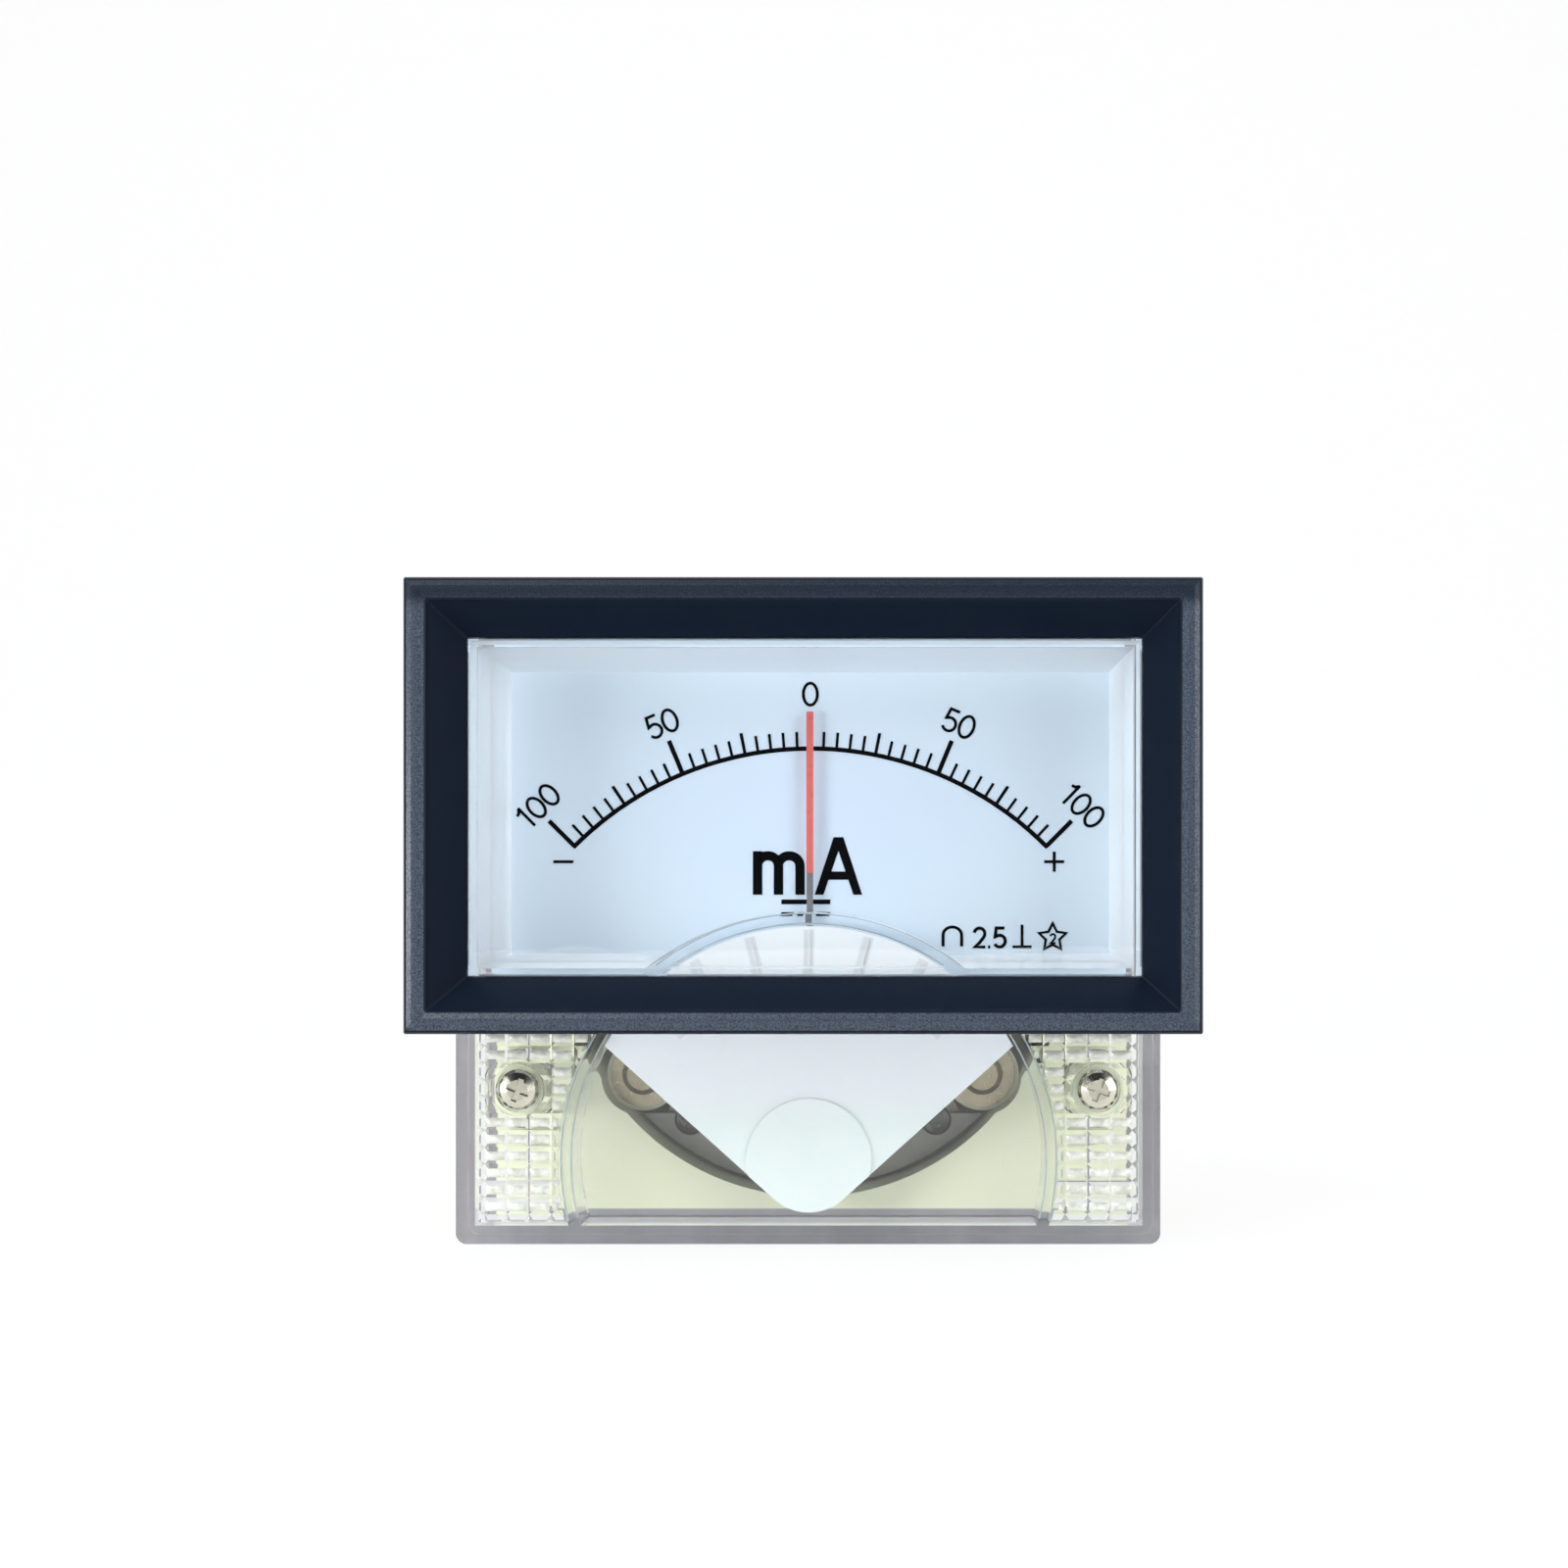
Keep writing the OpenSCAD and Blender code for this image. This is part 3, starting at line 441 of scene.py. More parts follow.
def cream_plastic(colours):
    """Warm cream moulding, mottled, with painted shade on the faces that don't face the front and a
    grey painted shade in the joint round the window, with ejector rings.
    """
    f = Finish("cream_plastic", colours.base, subsurface_weight=0.08, subsurface_scale=0.002)
    cloud = f.noise(0.09, 4)
    front_facing_unshaded = f.band(f.facing("Y") * -1, 0.3, 0.8)
    # Painted shade: faces that don't face the front get the cream at 0.78.
    outer = scaled(colours.base, 0.78)
    patch = f.band(cloud, 0.35, 0.7) * 0.4
    mottled_shaded_and_plain = []
    for plain in (outer, tuple(colours.base)):
        warm = tuple(c * w for c, w in zip(plain, (0.98, 0.95, 0.82)))
        mottled_shaded_and_plain.append(f.mix(patch, plain, warm))
    tone = f.mix(front_facing_unshaded, *mottled_shaded_and_plain)
    x, z = abs(f.axis("X")), f.axis("Z")
    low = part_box("front_cover")[0].z / MM
    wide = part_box("front_cover")[1].x / MM
    # Painted shade: grey joint colour on the base's flat front along the side and bottom walls,
    # beside the window and above it.
    wall = f.band(x, wide - 2.3, wide - 2.1).greatest(1 - f.band(z, low + 2.1, low + 2.3))
    beside = f.band(x, wide - 4.2, wide - 4.0) * f.band(z, WINDOW_LOW - 2.2, WINDOW_LOW - 1.7)
    window_top = 13.7
    over = f.band(z, window_top - 0.1, window_top + 0.1)
    flat = f.band(f.facing("Y") * -1, 0.8, 0.95)
    front = flat * f.band(-1 * f.axis("Y"), -11.4, -11.2)
    streak = f.noise(0.5, 4, (1, 1, 0.25))
    joint = f.mix(streak, scaled(colours.joint, 0.8), scaled(colours.joint, 1.15))
    f.set("Base Color", f.mix(wall.greatest(beside).greatest(over) * front, tone, joint))
    f.set("Roughness", cloud * 0.2 + 0.3)
    pin_x, pin_z, pin_r = 20.6, -33.5, 2.4
    away = ((x - pin_x) * (x - pin_x) + (z - pin_z) * (z - pin_z)).power(0.5)
    ring = 1 - f.band(abs(away - pin_r), 0.05, 0.2)
    f.bump(f.noise(1.6, 5) * 0.5 - ring * 0.6, 0.03, 0.4)
    return f


def dial_sheet(colours):
    """Pale blue lacquered sheet, with painted shade towards its middle and painted light towards
    its sides, and the faintest mottle.
    """
    f = Finish("dial_sheet", colours.dial)
    cloud = f.noise(0.08, 3)
    half_x, half_z = 27, 14
    x, z = f.axis("X") / half_x, f.axis("Z") / half_z
    # Painted light and shade: the colour runs from 0.93 in the middle to 1.05 at the sides.
    side = f.band((x * x + z * z).power(0.5), 0.1, 1.1)
    centre_shade_side_light = f.mix(side, scaled(colours.dial, 0.93), scaled(colours.dial, 1.05))
    f.set("Base Color", f.mix(cloud * 0.15, centre_shade_side_light, scaled(colours.dial, 0.9)))
    f.set("Roughness", cloud * 0.2 + 0.35)
    f.bump(f.noise(6, 2), 0.004, 0.25)
    return f


def black_ink(colours):
    """Flat screen ink, a little uneven."""
    f = Finish("screen_ink", colours.ink, specular_ior_level=0.02)
    patch = f.noise(2.5, 3)
    f.set("Base Color", f.mix(patch, colours.ink, scaled(colours.ink, 1.6)))
    f.set("Roughness", patch * 0.25 + 0.4)
    f.bump(patch, 0.006, 0.3)
    return f


def metal(name, tone, roughness, stretch=None, scratch=0.35):
    """Bare or plated metal with fine marks, which run along an axis where stretched."""
    f = Finish(name, tone, metallic=1.0)
    marks = f.noise(2.2, 4, stretch)
    cloud = f.noise(0.35, 3)
    f.set("Base Color", f.mix(f.band(cloud, 0.3, 0.75), tone, scaled(tone, 0.82)))
    f.set("Roughness", marks * 0.22 + (roughness - 0.11))
    f.bump(marks, 0.01, scratch)
    return f


def enamel(name, tone, roughness=0.3):
    """Paint or insulation with soft unevenness."""
    f = Finish(name, tone)
    cloud = f.noise(1.2, 3)
    f.set("Base Color", f.mix(cloud, tone, scaled(tone, 0.78)))
    f.set("Roughness", cloud * 0.2 + roughness - 0.1)
    f.bump(cloud, 0.01, 0.3)
    return f


def copper_coil(colours):
    """Fine enamelled wire, wound in close turns round the former, with painted shade in the grooves
    and painted highlight on the crests.
    """
    f = Finish("copper_wire", (0.4, 0.13, 0.04), 0.25, metallic=0.7)
    radians_per_mm = 42
    turns = (f.axis("Y") * radians_per_mm).wave()
    # Painted shade and highlight: darker copper in the grooves and paler on the crests, on the
    # bump's wave.
    f.set("Base Color", f.mix(f.band(turns, -0.6, 0.4), (0.16, 0.04, 0.012), (0.55, 0.2, 0.06)))
    f.bump(turns, 0.03, 0.6)
    return f


# --- flat print --------------------------------------------------------------


def arc(centre, radius, start, end, steps=10):
    """Points along an ellipse's arc; angles in degrees, anticlockwise from the right."""
    (cx, cz), (rx, rz) = centre, radius
    turn = [math.radians(start + (end - start) * i / steps) for i in range(steps + 1)]
    return [(cx + rx * math.cos(a), cz + rz * math.sin(a)) for a in turn]


# Strokes of the figures in a box 0.66 wide and 1 high: (points, closed).
STROKES = {
    "0": [(arc((0.33, 0.5), (0.29, 0.455), 0, 345, 23), True)],
    "1": [([(0.06, 0.79), (0.2, 0.83), (0.29, 0.95), (0.32, 0.95), (0.32, 0)], False)],
    "2": [
        (
            arc((0.33, 0.68), (0.25, 0.27), 170, -38, 10)
            + [(0.3, 0.22), (0.1, 0.05), (0.6, 0.05)],
            False,
        )
    ],
    "5": [
        (
            [(0.55, 0.95), (0.16, 0.95), (0.11, 0.54)]
            + arc((0.32, 0.33), (0.27, 0.28), 125, -150, 14),
            False,
        )
    ],
    ".": [([(0.03, 0.05), (0.13, 0.05)], False)],
}
ADVANCE = {"0": 0.74, "1": 0.55, "2": 0.7, "5": 0.7, ".": 0.26}


def flat_star(radius, waist=0.5):
    """Corners of an upright five-pointed star round its middle."""
    corners = []
    for i in range(10):
        away, turn = radius * (waist if i % 2 else 1), math.radians(90 + 36 * i)
        corners.append((away * math.cos(turn), away * math.sin(turn)))
    return corners


class Print:
    """Collects flat ink, in millimetres across the dial, and makes one thin mesh of it."""

    def __init__(self, name, face, ink_mm):
        self.name = name
        self.front, self.back = face - ink_mm, face
        self.mesh = bmesh.new()
        self.move = Matrix.Identity(3)

    def at(self, x, z, turn=0.0, size=1.0):
        """What follows is drawn from here, turned clockwise by an angle, at a size."""
        spin = Matrix.Rotation(math.radians(-turn), 3, "Z") @ Matrix.Diagonal((size, size, 1))
        spin.col[2] = (x, z, 1)
        self.move = spin
        return self

    def corner(self, x, z, depth):
        place = self.move @ Vector((x, z, 1))
        return self.mesh.verts.new((place.x * MM, depth * MM, place.y * MM))

    def patch(self, points):
        """A filled outline, convex, drawn anticlockwise."""
        front = [self.corner(x, z, self.front) for x, z in points]
        back = [self.corner(x, z, self.back) for x, z in points]
        self.mesh.faces.new(front)
        self.mesh.faces.new(back[::-1])
        for i in range(len(points)):
            j = (i + 1) % len(points)
            self.mesh.faces.new((front[j], front[i], back[i], back[j]))

    def stroke(self, points, width, closed=False):
        """A line of even width with mitred bends."""
        count = len(points)
        sides = []
        for i, (x, z) in enumerate(points):
            before = points[i - 1] if closed or i else None
            after = points[(i + 1) % count] if closed or i < count - 1 else None
            along = [
                Vector((b[0] - a[0], b[1] - a[1])).normalized()
                for a, b in ((before, (x, z)), ((x, z), after))
                if a and b
            ]
            middle = sum(along, Vector((0, 0))).normalized()
            reach = width / 2 / max(0.5, middle.dot(along[0]))
            out = Vector((-middle.y, middle.x)) * reach
            sides.append([(x + out.x, z + out.y), (x - out.x, z - out.y)])
        rows = [
            [self.corner(*side, depth) for depth in (self.front, self.back) for side in pair]
            for pair in sides
        ]
        for i in range(count if closed else count - 1):
            a, b = rows[i], rows[(i + 1) % count]
            for k, m in ((1, 0), (0, 2), (2, 3), (3, 1)):
                self.mesh.faces.new((a[k], a[m], b[m], b[k]))
        if not closed:
            for row in (rows[0], rows[-1][::-1]):
                self.mesh.faces.new((row[0], row[1], row[3], row[2]))

    def figures(self, text, weight):
        """Figures in a row, their middle at the present place."""
        left = -sum(ADVANCE[c] for c in text) / 2 + 0.04
        for c in text:
            for points, closed in STROKES[c]:
                moved = [(x + left, z - 0.5) for x, z in points]
                self.stroke(moved, weight, closed)
            left += ADVANCE[c]

    def finish(self, body, slot, material):
        bmesh.ops.recalc_face_normals(self.mesh, faces=self.mesh.faces)
        return add_piece(self.name, self.mesh, body, material)


def add_piece(name, shape, body, material):
    """Turns a bmesh into a piece that rides on a body."""
    mesh = bpy.data.meshes.new(name)
    shape.to_mesh(mesh)
    shape.free()
    mesh.materials.append(material)
    piece = bpy.data.objects.new(name, mesh)
    bpy.context.scene.collection.objects.link(piece)
    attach(piece, body)
    return piece


# --- operators ---------------------------------------------------------------


class Piece:
    """What every operator of the add-on shares."""

    bl_options = {"REGISTER", "UNDO"}

    @property
    def colours(self):
        return bpy.context.scene.meter_colours


def soften(name, width_mm, segments=2, angle=25):
    """Rounds the sharp edges of a moulded CAD node, which keeps its own mesh."""
    node = NODES[name]
    weld = node.modifiers.new("weld", "WELD")
    weld.merge_threshold = 0.002 * MM
    bevel = node.modifiers.new("rounded_edges", "BEVEL")
    bevel.width = width_mm * MM
    bevel.segments = segments
    bevel.limit_method = "ANGLE"
    bevel.angle_limit = math.radians(angle)
    bevel.harden_normals = True


class METER_OT_stage(Piece, bpy.types.Operator):
    """Camera, floor, backdrop and soft lamps"""

    bl_idname = "meter.stage"
    bl_label = "Stage"

    def execute(self, context):
        settings = context.scene.meter_stage
        self.camera(context, settings)
        self.floor(settings)
        self.sky(context, settings)
        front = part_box("bezel_frame")[0].y
        power = settings.lamp
        self.lamp("lamp_key", (-0.3, front - 0.4, 0.4), (0.4, 0.4), power * 2.4)
        self.lamp("lamp_fill", (0.42, front - 0.36, 0.12), (0.3, 0.3), power * 1.4)
        self.lamp("lamp_low", (0.05, front - 0.42, -0.36), (0.35, 0.25), power * 1.9)
        self.lamp("lamp_top", (0.0, front - 0.1, 0.6), (0.5, 0.5), power * 0.3)
        self.lamp("lamp_strip", (-0.27, front - 0.2, -0.04), (0.12, 0.12), power * 0.85)
        context.scene.view_settings.view_transform = "Standard"
        return {"FINISHED"}

    def camera(self, context, settings):
        data = bpy.data.cameras.new("meter_camera")
        data.lens = settings.lens
        data.shift_x, data.shift_y = settings.shift_x, settings.shift_y
        data.clip_start = 0.01
        camera = bpy.data.objects.new("meter_camera", data)
        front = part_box("bezel_frame")[0].y
        camera.location = (settings.camera_x, front - settings.camera_gap, settings.camera_z)
        camera.rotation_euler = (math.pi / 2, 0, 0)
        context.scene.collection.objects.link(camera)
        context.scene.camera = camera

    def floor(self, settings):
        """A sheet that lies under the meter and curves up behind it."""
        ground = CAD_BOX[0].z - 0.1 * MM
        near, back, bend, height, half = -1.2, 0.3, 0.2, 1.2, 1.5
        line = [(near, 0.0), (back, 0.0)]
        line += [
            (back + bend * math.sin(a), bend * (1 - math.cos(a)))
            for a in (math.pi / 2 * step / 12 for step in range(1, 13))
        ]
        line.append((back + bend, height))
        mesh = bpy.data.meshes.new("floor")
        corners = [(x, y, ground + z) for y, z in line for x in (-half, half)]
        faces = [(2 * i, 2 * i + 1, 2 * i + 3, 2 * i + 2) for i in range(len(line) - 1)]
        mesh.from_pydata(corners, [], faces)
        mesh.shade_smooth()
        floor = bpy.data.objects.new("floor", mesh)
        bpy.context.scene.collection.objects.link(floor)
        f = Finish("floor", tuple(settings.floor), 0.9)
        f.show_white(0.8)
        mesh.materials.append(f.material)

    def sky(self, context, settings):
        """Even light with a darker part behind the camera, and white where it is seen."""
        world = bpy.data.worlds.new("studio")
        context.scene.world = world
        n = Nodes(world)
        way = n.node("ShaderNodeTexCoord", {}, {}, "Generated")
        front = n.node("ShaderNodeSeparateXYZ", {}, {0: way}, "Y") * -1
        dark = n.node(
            "ShaderNodeMapRange",
            {"interpolation_type": "SMOOTHSTEP"},
            {"Value": front, "From Min": 0.6, "From Max": 0.9},
            "Result",
        )
        ray = [
            n.node("ShaderNodeLightPath", {}, {}, kind)
            for kind in ("Is Camera Ray", "Is Transmission Ray")
        ]
        light = (1 - dark * 0.96) * settings.sky
        n.set("Color", (0.97, 0.985, 1.0), n.tree.nodes["Background"])
        n.set("Strength", light, n.tree.nodes["Background"])
        own = Value(n, n.tree.nodes["Background"].outputs[0])
        white = n.node("ShaderNodeBackground", {}, {"Color": (1, 1, 1)}, 0)
        seen = ray[0].greatest(ray[1] * (front < 0))
        both = n.node("ShaderNodeMixShader", {}, {0: seen, 1: own, 2: white}, 0)
        n.set("Surface", both, n.tree.nodes["World Output"])

    def lamp(self, name, place, size, power):
        data = bpy.data.lights.new(name, "AREA")
        data.shape, data.energy = "RECTANGLE", power
        data.size, data.size_y = size
        lamp = bpy.data.objects.new(name, data)
        lamp.location = place
        target = Vector((0, 0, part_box("base_housing")[0].z / 2))
        lamp.rotation_euler = (target - Vector(place)).to_track_quat("-Z", "Y").to_euler()
        bpy.context.scene.collection.objects.link(lamp)


class METER_OT_mouldings(Piece, bpy.types.Operator):
    """Finishes of the bezel, the clear cover, the mask and the base"""

    bl_idname = "meter.mouldings"
    bl_label = "Mouldings"

    def execute(self, context):
        dress(black_plastic(self.colours), "bezel_frame")
        dress(clear_plastic(self.colours), "front_cover")
        dress(white_plastic(self.colours), "fan_mask")
        dress(cream_plastic(self.colours), "base_housing")
        soften("bezel_frame", 0.16)
        soften("base_housing", 0.25)
        soften("fan_mask", 0.12)
        return {"FINISHED"}


class METER_OT_pockets(Piece, bpy.types.Operator):
    """Rows of moulded pillows in the two pockets of the clear cover"""

    bl_idname = "meter.pockets"
    bl_label = "Pocket pattern"

    def execute(self, context):
        sizes = context.scene.meter_pockets
        step_x, step_z = sizes.step_x / MM, sizes.step_z / MM
        half_x, half_z = sizes.pillow_x / MM / 2, sizes.pillow_z / MM / 2
        floor = sizes.floor / MM
        low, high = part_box("front_cover")
        border, pocket_in, pocket_top = 2, 15, -16.5
        screw_room, shroud_room, least = 2.9, 0.35, 0.5
        cover_low, edge = low.z / MM + border, high.x / MM - border
        middle_x, middle_z = (pocket_in + edge) / 2, (cover_low + pocket_top) / 2
        across, up = int((edge - pocket_in) / step_x), int((pocket_top - cover_low) / step_z)
        screw = sum(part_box("cover_screw_right"), Vector()) / 2 / MM
        shape = bmesh.new()
        for i in range(across):
            for j in range(up):
                x = middle_x + (i - across / 2 + 0.5) * step_x
                z = middle_z + (j - up / 2 + 0.5) * step_z
                rise = SHROUD_R**2 - (z - SHROUD_Z) ** 2
                inner = max(x - half_x, math.sqrt(max(0, rise)) + shroud_room)
                clear = math.hypot(x - screw.x, z - screw.z) > screw_room
                if clear and inner < x + half_x - least:
                    wide, tall = (inner, x + half_x), (z - half_z, z + half_z)
                    for side in (-1, 1):
                        self.pillow(shape, side, wide, tall, floor)
        bmesh.ops.recalc_face_normals(shape, faces=shape.faces)
        for face in shape.faces:
            face.smooth = True
        # The pillows' near-white finish is painted reflection.
        finish = painted_reflection_facets(self.colours)
        add_piece("pocket_pillows", shape, "housing", finish.material)
        return {"FINISHED"}

    def pillow(self, shape, side, wide, tall, floor):
        """A low cushion on the pocket's floor, highest in its middle."""
        steps, rise = 6, 0.24
        rows = []
        for i in range(steps + 1):
            u = i / steps
            row = []
            for j in range(steps + 1):
                v = j / steps
                dome = (1 - abs(2 * u - 1) ** 4) * (1 - abs(2 * v - 1) ** 2.5)
                x = wide[0] + (wide[1] - wide[0]) * u
                z = tall[0] + (tall[1] - tall[0]) * v
                row.append(shape.verts.new((side * x * MM, (floor - rise * dome) * MM, z * MM)))
            rows.append(row)
        for i in range(steps):
            for j in range(steps):
                shape.faces.new((rows[i][j], rows[i + 1][j], rows[i + 1][j + 1], rows[i][j + 1]))


class METER_OT_edges(Piece, bpy.types.Operator):
    """Frosted edges of the round shroud, in the window and behind the plate"""

    bl_idname = "meter.edges"
    bl_label = "Shroud edges"

    def execute(self, context):
        shape = bmesh.new()
        inset, window_depth, plate_depth = 0.08, 6.38, 4.58
        plate_from, plate_to = 47, 104
        for radius in (SHROUD_R - inset, SHROUD_R - SHROUD_WALL + inset):
            half = math.degrees(math.acos((WINDOW_LOW - SHROUD_Z) / radius))
            self.tube(shape, radius, -half, half, window_depth)
            for side in (-1, 1):
                self.tube(shape, radius, side * plate_from, side * plate_to, plate_depth)
        finish = moulded_edge(self.colours)
        add_piece("shroud_edges", shape, "housing", finish.material)
        return {"FINISHED"}

    def tube(self, shape, radius, start, end, depth, thick=0.07):
        """A thin round bead along an arc; angles in degrees from upright."""
        steps, sides = 40, 6
        rings = []
        for i in range(steps + 1):
            turn = math.radians(start + (end - start) * i / steps)
            ring = []
            for k in range(sides):
                a = 2 * math.pi * k / sides
                r = radius + thick * math.cos(a)
                x, z = r * math.sin(turn), SHROUD_Z + r * math.cos(turn)
                y = depth + thick * math.sin(a)
                ring.append(shape.verts.new((x * MM, y * MM, z * MM)))
            rings.append(ring)
        for a, b in zip(rings, rings[1:]):
            for k in range(sides):
                m = (k + 1) % sides
                shape.faces.new((a[k], a[m], b[m], b[k]))
        shape.faces.new(rings[0])
        shape.faces.new(rings[-1][::-1])
        bmesh.ops.recalc_face_normals(shape, faces=shape.faces)


class METER_OT_dial(Piece, bpy.types.Operator):
    """Finishes of the dial sheet and its printed scale"""

    bl_idname = "meter.dial"
    bl_label = "Dial"

    def execute(self, context):
        dress(dial_sheet(self.colours), "dial_plate")
        dress(black_ink(self.colours), "scale_print")
        return {"FINISHED"}


class Printing(Piece):
    """Shared places of what is printed on the dial."""

    def start(self, name):
        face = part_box("dial_plate")[0].y / MM
        return Print(name, face, bpy.context.scene.meter_print.ink / MM)

    def end(self, drawing):
        ink = bpy.data.materials["screen_ink"]
        drawing.finish("housing", "black_ink", ink)
        return {"FINISHED"}


class METER_OT_numbers(Printing, bpy.types.Operator):
    """Numbers round the scale, with the minus and plus signs at its ends"""

    bl_idname = "meter.numbers"
    bl_label = "Numbers"

    def execute(self, context):
        sizes = context.scene.meter_print
        drawing = self.start("scale_numbers")
        pivot = frame["joints"][0]["pos_m"][2]
        radius, height = sizes.number_radius, sizes.number_height / MM
        ends, quarter = 44.6, 22.5
        marks = ((-ends, "100"), (-quarter, "50"), (0, "0"), (quarter, "50"), (ends, "100"))
        for angle, text in marks:
            turn = math.radians(angle)
            x, z = radius * math.sin(turn), pivot + radius * math.cos(turn)
            drawing.at(x / MM, z / MM, angle, height).figures(text, sizes.weight)
        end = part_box("scale_print")
        half, weight, row = 0.95, 0.28, end[0].z / MM - 1.2
        drawing.at(end[0].x / MM + 1.5, row).stroke([(-half, 0), (half, 0)], weight)
        drawing.at(end[1].x / MM - 1.8, row).stroke([(-half, 0), (half, 0)], weight)
        for side in (-1, 1):
            drawing.stroke([(0, side * weight / 2), (0, side * half)], weight)
        return self.end(drawing)


class METER_OT_unit(Printing, bpy.types.Operator):
    """Unit in bold letters over the sign for direct current"""

    bl_idname = "meter.unit"
    bl_label = "Unit"

    def execute(self, context):
        drawing = self.start("unit_sign")
        weight, base, top = 0.88, -7.75, -3.62
        left, middle, right = -5.0, -3.02, -0.98
        crown = top - weight / 2
        drawing.at(0, 0).stroke([(left, base), (left, top)], weight)
        for start, end in ((left, middle), (middle, right)):
            half = (end - start) / 2
            bow = arc((start + half, crown - 0.95), (half, 0.95), 155, 0, 12)
            drawing.stroke([*bow, (end, base)], weight)
        self.letter_a(drawing, 2.66, base, -2.3)
        bar, from_x, to_x = -8.42, -2.75, 1.9
        drawing.stroke([(from_x, bar), (to_x, bar)], 0.45)
        dash_row, dashes = bar - 1.15, ((from_x, -1.55), (-1.1, -0.55), (-0.25, 0.25), (0.65, to_x))
        for start, end in dashes:
            drawing.stroke([(start, dash_row), (end, dash_row)], 0.34)
        return self.end(drawing)

    def letter_a(self, drawing, x, base, top):
        """Two slanted legs that meet along the middle line, and a bar."""
        foot, inner, apex, notch = 2.25, 1.42, 0.46, 1.15
        for side in (-1, 1):
            leg = [
                (x + side * foot, base),
                (x + side * inner, base),
                (x, top - notch - 0.15),
                (x, top),
                (x + side * apex, top),
            ]
            drawing.patch(leg if side < 0 else leg[::-1])
        low, high = base + 1.42, base + 2.2
        drawing.patch([(x - 1.0, low), (x + 1.0, low), (x + 0.8, high), (x - 0.8, high)])


class METER_OT_signs(Printing, bpy.types.Operator):
    """Row of generic signs: moving coil, class, upright use and test voltage"""

    bl_idname = "meter.signs"
    bl_label = "Signs"

    def execute(self, context):
        sizes = context.scene.meter_print
        drawing = self.start("sign_row")
        height, row = sizes.sign_height / MM, -11.8
        coil_x, class_x, upright_x, star_x = 13.45, 16.95, 20.05, 22.95
        line = sizes.weight * height
        coil = arc((0, 0.12), (0.44, 0.38), 0, 180, 12)
        drawing.at(coil_x, row, 0, height).stroke(
            [(0.44, -0.42), *coil, (-0.44, -0.42)], sizes.weight * 1.2
        )
        drawing.at(class_x, row, 0, height).figures("2.5", sizes.weight * 1.25)
        foot = row - height / 2 + line / 2
        drawing.at(upright_x, foot).stroke([(-0.9, 0), (0.9, 0)], line * 1.1)
        drawing.stroke([(0, line / 2), (0, height * 1.05)], line * 1.1)
        drawing.at(star_x, row).stroke(flat_star(1.35), line, closed=True)
        drawing.at(star_x, row - 0.1, 0, 0.95).figures("2", sizes.weight * 1.5)
        return self.end(drawing)


class METER_OT_movement(Piece, bpy.types.Operator):
    """Finishes of the moving coil, its magnet, frame, springs and pointer"""

    bl_idname = "meter.movement"
    bl_label = "Movement"

    def execute(self, context):
        dress(metal("die_cast", (0.3, 0.3, 0.26), 0.45), "movement_frame", "front_bridge")
        dress(metal("die_cast_rear", (0.55, 0.56, 0.55), 0.45), "rear_bridge")
        dress(metal("soft_iron", (0.24, 0.24, 0.22), 0.35, (1, 0.1, 1)), "yoke_ring")
        dress(metal("cast_magnet", (0.3, 0.3, 0.31), 0.5), "core_magnet")
        brass = metal("brass", tuple(self.colours.brass), 0.3)
        dress(brass, "core_supports", "balance_weights", "front_jewel_screw", "rear_jewel_screw")
        dress(metal("thin_aluminium", (0.75, 0.76, 0.77), 0.3), "coil_former")
        dress(metal("pointer_tube", (0.3, 0.3, 0.31), 0.4), "pointer_arm")
        dress(copper_coil(self.colours), "coil_winding")
        dress(metal("dark_steel", (0.2, 0.21, 0.23), 0.25), "pivot_staffs", "pointer_stops")
        dress(metal("bronze", (0.55, 0.34, 0.14), 0.3), "front_hairspring", "rear_hairspring")
        dress(metal("spring_bronze", (0.5, 0.34, 0.18), 0.35), "zero_lever")
        dress(enamel("red_paint", tuple(self.colours.pointer)), "pointer_blade")
        return {"FINISHED"}


class METER_OT_fittings(Piece, bpy.types.Operator):
    """Finishes of the screws, terminals, wires and the zero adjuster"""

    bl_idname = "meter.fittings"
    bl_label = "Fittings"

    def execute(self, context):
        nickel = metal("nickel", tuple(self.colours.nickel), 0.22)
        screw_plate = metal("cover_screw_plate", (0.74, 0.72, 0.6), 0.24)
        dress(screw_plate, "cover_screw_left", "cover_screw_right")
        dress(metal("frame_screw_steel", (0.12, 0.12, 0.11), 0.35), "frame_screws")
        dress(nickel, "dial_screws")
        dress(nickel, "bridge_screws", "terminal_nuts", "flat_washers", "spring_washers")
        dress(metal("stud_plate", (0.5, 0.44, 0.3), 0.3), "terminal_studs", "solder_lugs")
        soften("terminal_nuts", 0.25)
        soften("flat_washers", 0.12)
        dress(enamel("black_moulding", (0.015, 0.016, 0.018), 0.35), "zero_adjuster")
        dress(enamel("red_wire", (0.5, 0.03, 0.03), 0.45), "lead_wires")
        return {"FINISHED"}


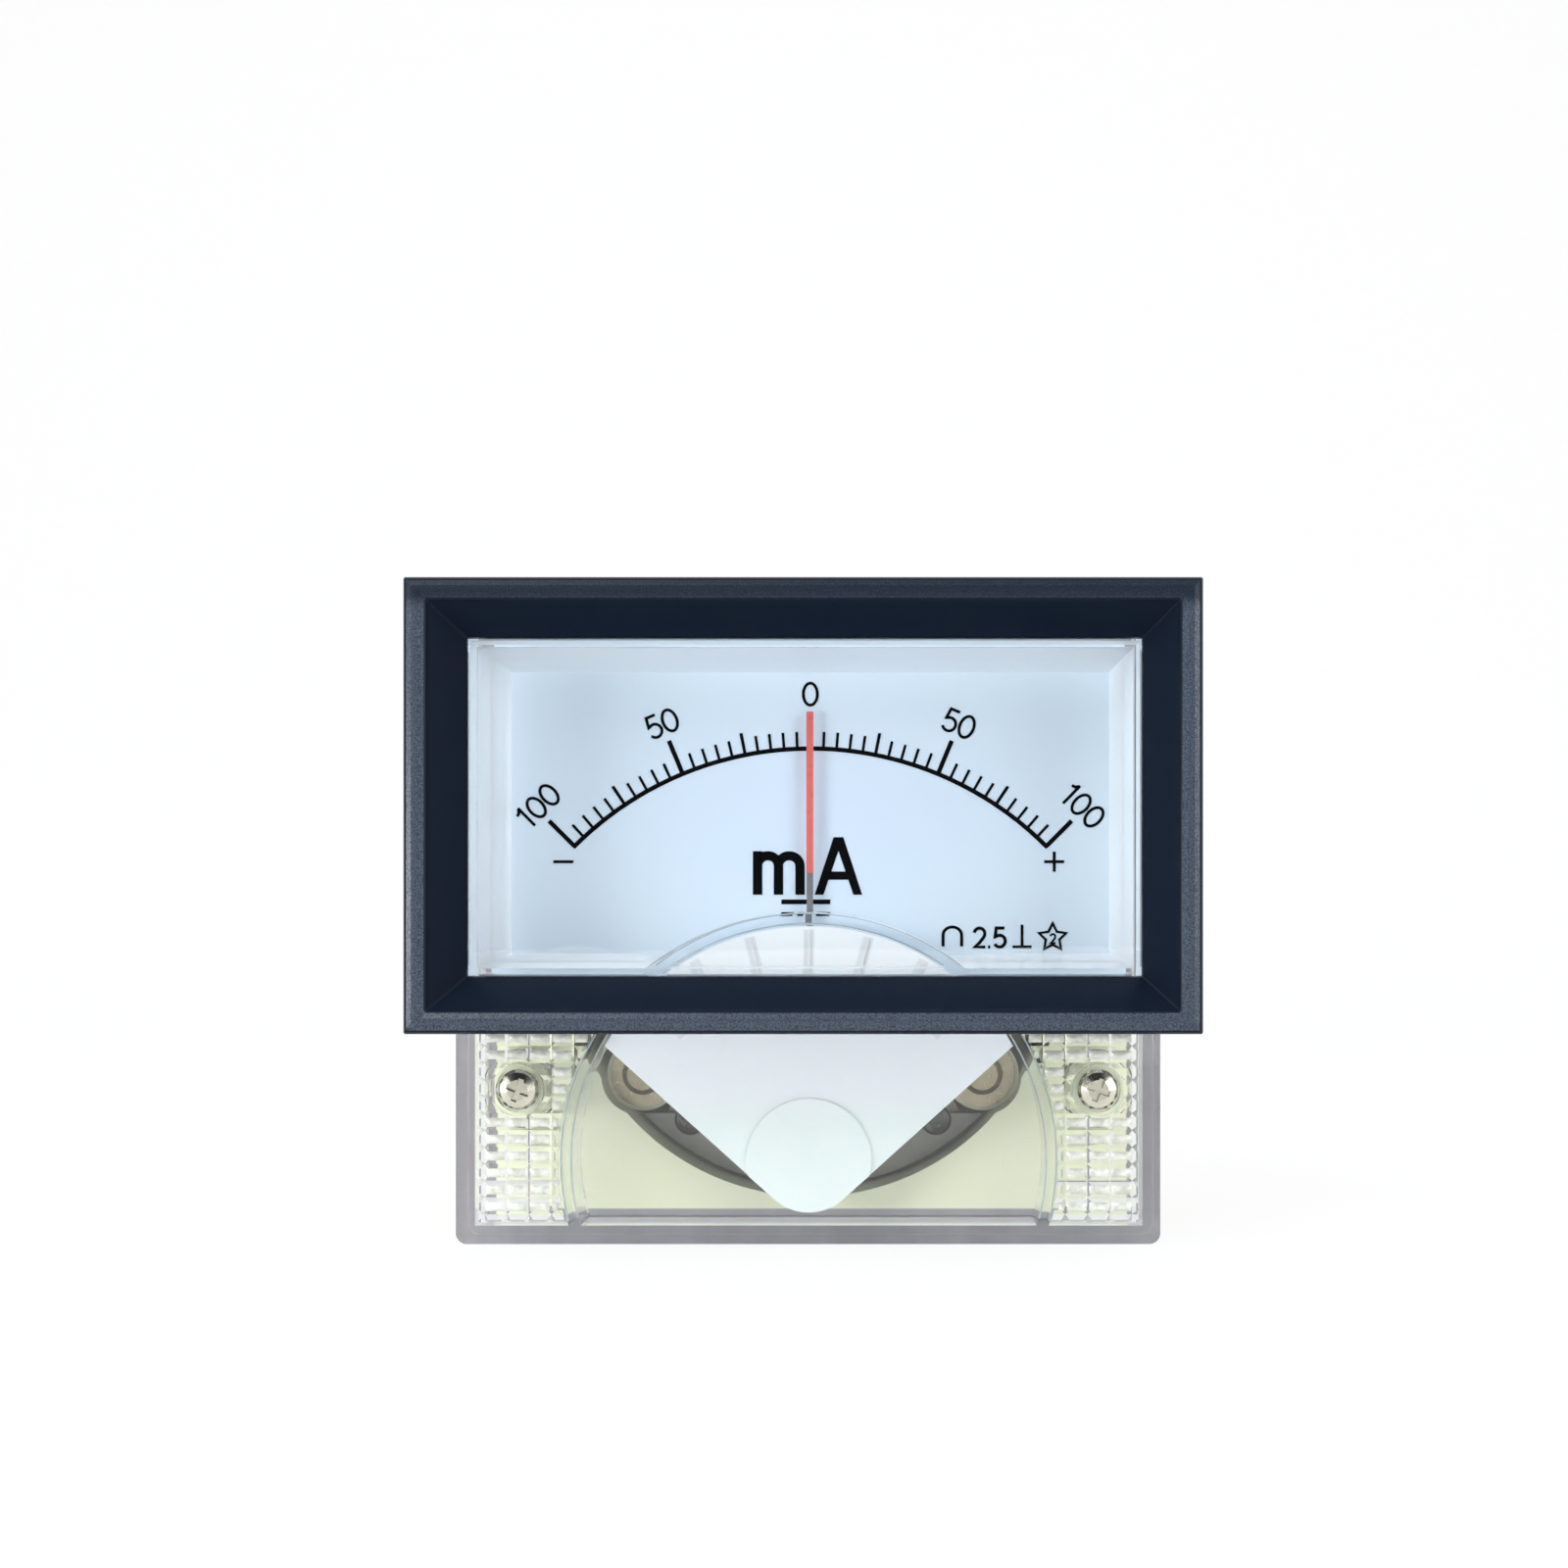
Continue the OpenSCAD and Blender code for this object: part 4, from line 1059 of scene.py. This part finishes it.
class METER_OT_threads(Piece, bpy.types.Operator):
    """Screw threads wound round the bare ends of both terminal studs"""

    bl_idname = "meter.threads"
    bl_label = "Stud threads"

    def execute(self, context):
        sizes = context.scene.meter_threads
        pitch, crest, root = (v / MM for v in (sizes.pitch, sizes.crest, sizes.root))
        plain_end, clearance = 0.55, 0.05
        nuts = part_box("terminal_nuts")
        first = nuts[1].y / MM + clearance
        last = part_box("terminal_studs")[1].y / MM - plain_end
        height = (nuts[0].z + nuts[1].z) / 2 / MM
        shape = bmesh.new()
        for side in (-1, 1):
            at = (side * sizes.stud_x / MM, height)
            self.helix(shape, at, (first, last), pitch, (root, crest))
        bmesh.ops.recalc_face_normals(shape, faces=shape.faces)
        finish = metal("thread_plate", (0.52, 0.47, 0.34), 0.3)
        add_piece("stud_threads", shape, "housing", finish.material)
        return {"FINISHED"}

    def helix(self, shape, at, span, pitch, radii, steps=36):
        """A ridge with a flat crest, which runs out at both ends."""
        turns = (span[1] - span[0]) / pitch - 1
        count, fade = int(turns * steps), steps / 4
        foot, flat = 0.42, 0.1
        rows = []
        for i in range(count + 1):
            a = 2 * math.pi * i / steps
            middle = span[0] + pitch * (0.5 + i / steps)
            tall = min(1, i / fade, (count - i) / fade)
            rise = radii[0] + (radii[1] - radii[0]) * tall
            row = []
            for r, y in ((radii[0], -foot), (rise, -flat), (rise, flat), (radii[0], foot)):
                place = (at[0] + r * math.sin(a), middle + y * pitch, at[1] + r * math.cos(a))
                row.append(shape.verts.new([c * MM for c in place]))
            rows.append(row)
        for a, b in zip(rows, rows[1:]):
            for k in range(4):
                m = (k + 1) % 4
                shape.faces.new((a[k], a[m], b[m], b[k]))


class METER_PT_panel(bpy.types.Panel):
    """Lists the meter's pieces"""

    bl_idname = "METER_PT_panel"
    bl_label = "Panel meter"
    bl_space_type = "VIEW_3D"
    bl_region_type = "UI"
    bl_category = "Meter"

    def draw(self, context):
        for operator in OPERATORS:
            self.layout.operator(operator.bl_idname)
        for key in GROUPS:
            group = getattr(context.scene, key)
            box = self.layout.box()
            for name in group.bl_rna.properties.keys():
                if name not in ("rna_type", "name"):
                    box.prop(group, name)


OPERATORS = (
    METER_OT_stage,
    METER_OT_mouldings,
    METER_OT_pockets,
    METER_OT_edges,
    METER_OT_dial,
    METER_OT_numbers,
    METER_OT_unit,
    METER_OT_signs,
    METER_OT_movement,
    METER_OT_fittings,
    METER_OT_threads,
)
GROUPS = {
    "meter_stage": MeterStage,
    "meter_colours": MeterColours,
    "meter_pockets": MeterPockets,
    "meter_print": MeterPrint,
    "meter_threads": MeterThreads,
}


def register():
    for item in (*GROUPS.values(), *OPERATORS, METER_PT_panel):
        bpy.utils.register_class(item)
    for name, group in GROUPS.items():
        setattr(bpy.types.Scene, name, PointerProperty(type=group))


def unregister():
    for name in GROUPS:
        delattr(bpy.types.Scene, name)
    for item in (METER_PT_panel, *reversed(OPERATORS), *GROUPS.values()):
        bpy.utils.unregister_class(item)


def main():
    """Registers the add-on and makes every piece in order."""
    register()
    for operator in OPERATORS:
        family, name = operator.bl_idname.split(".")
        getattr(getattr(bpy.ops, family), name)()


if __name__ == "__main__":
    main()
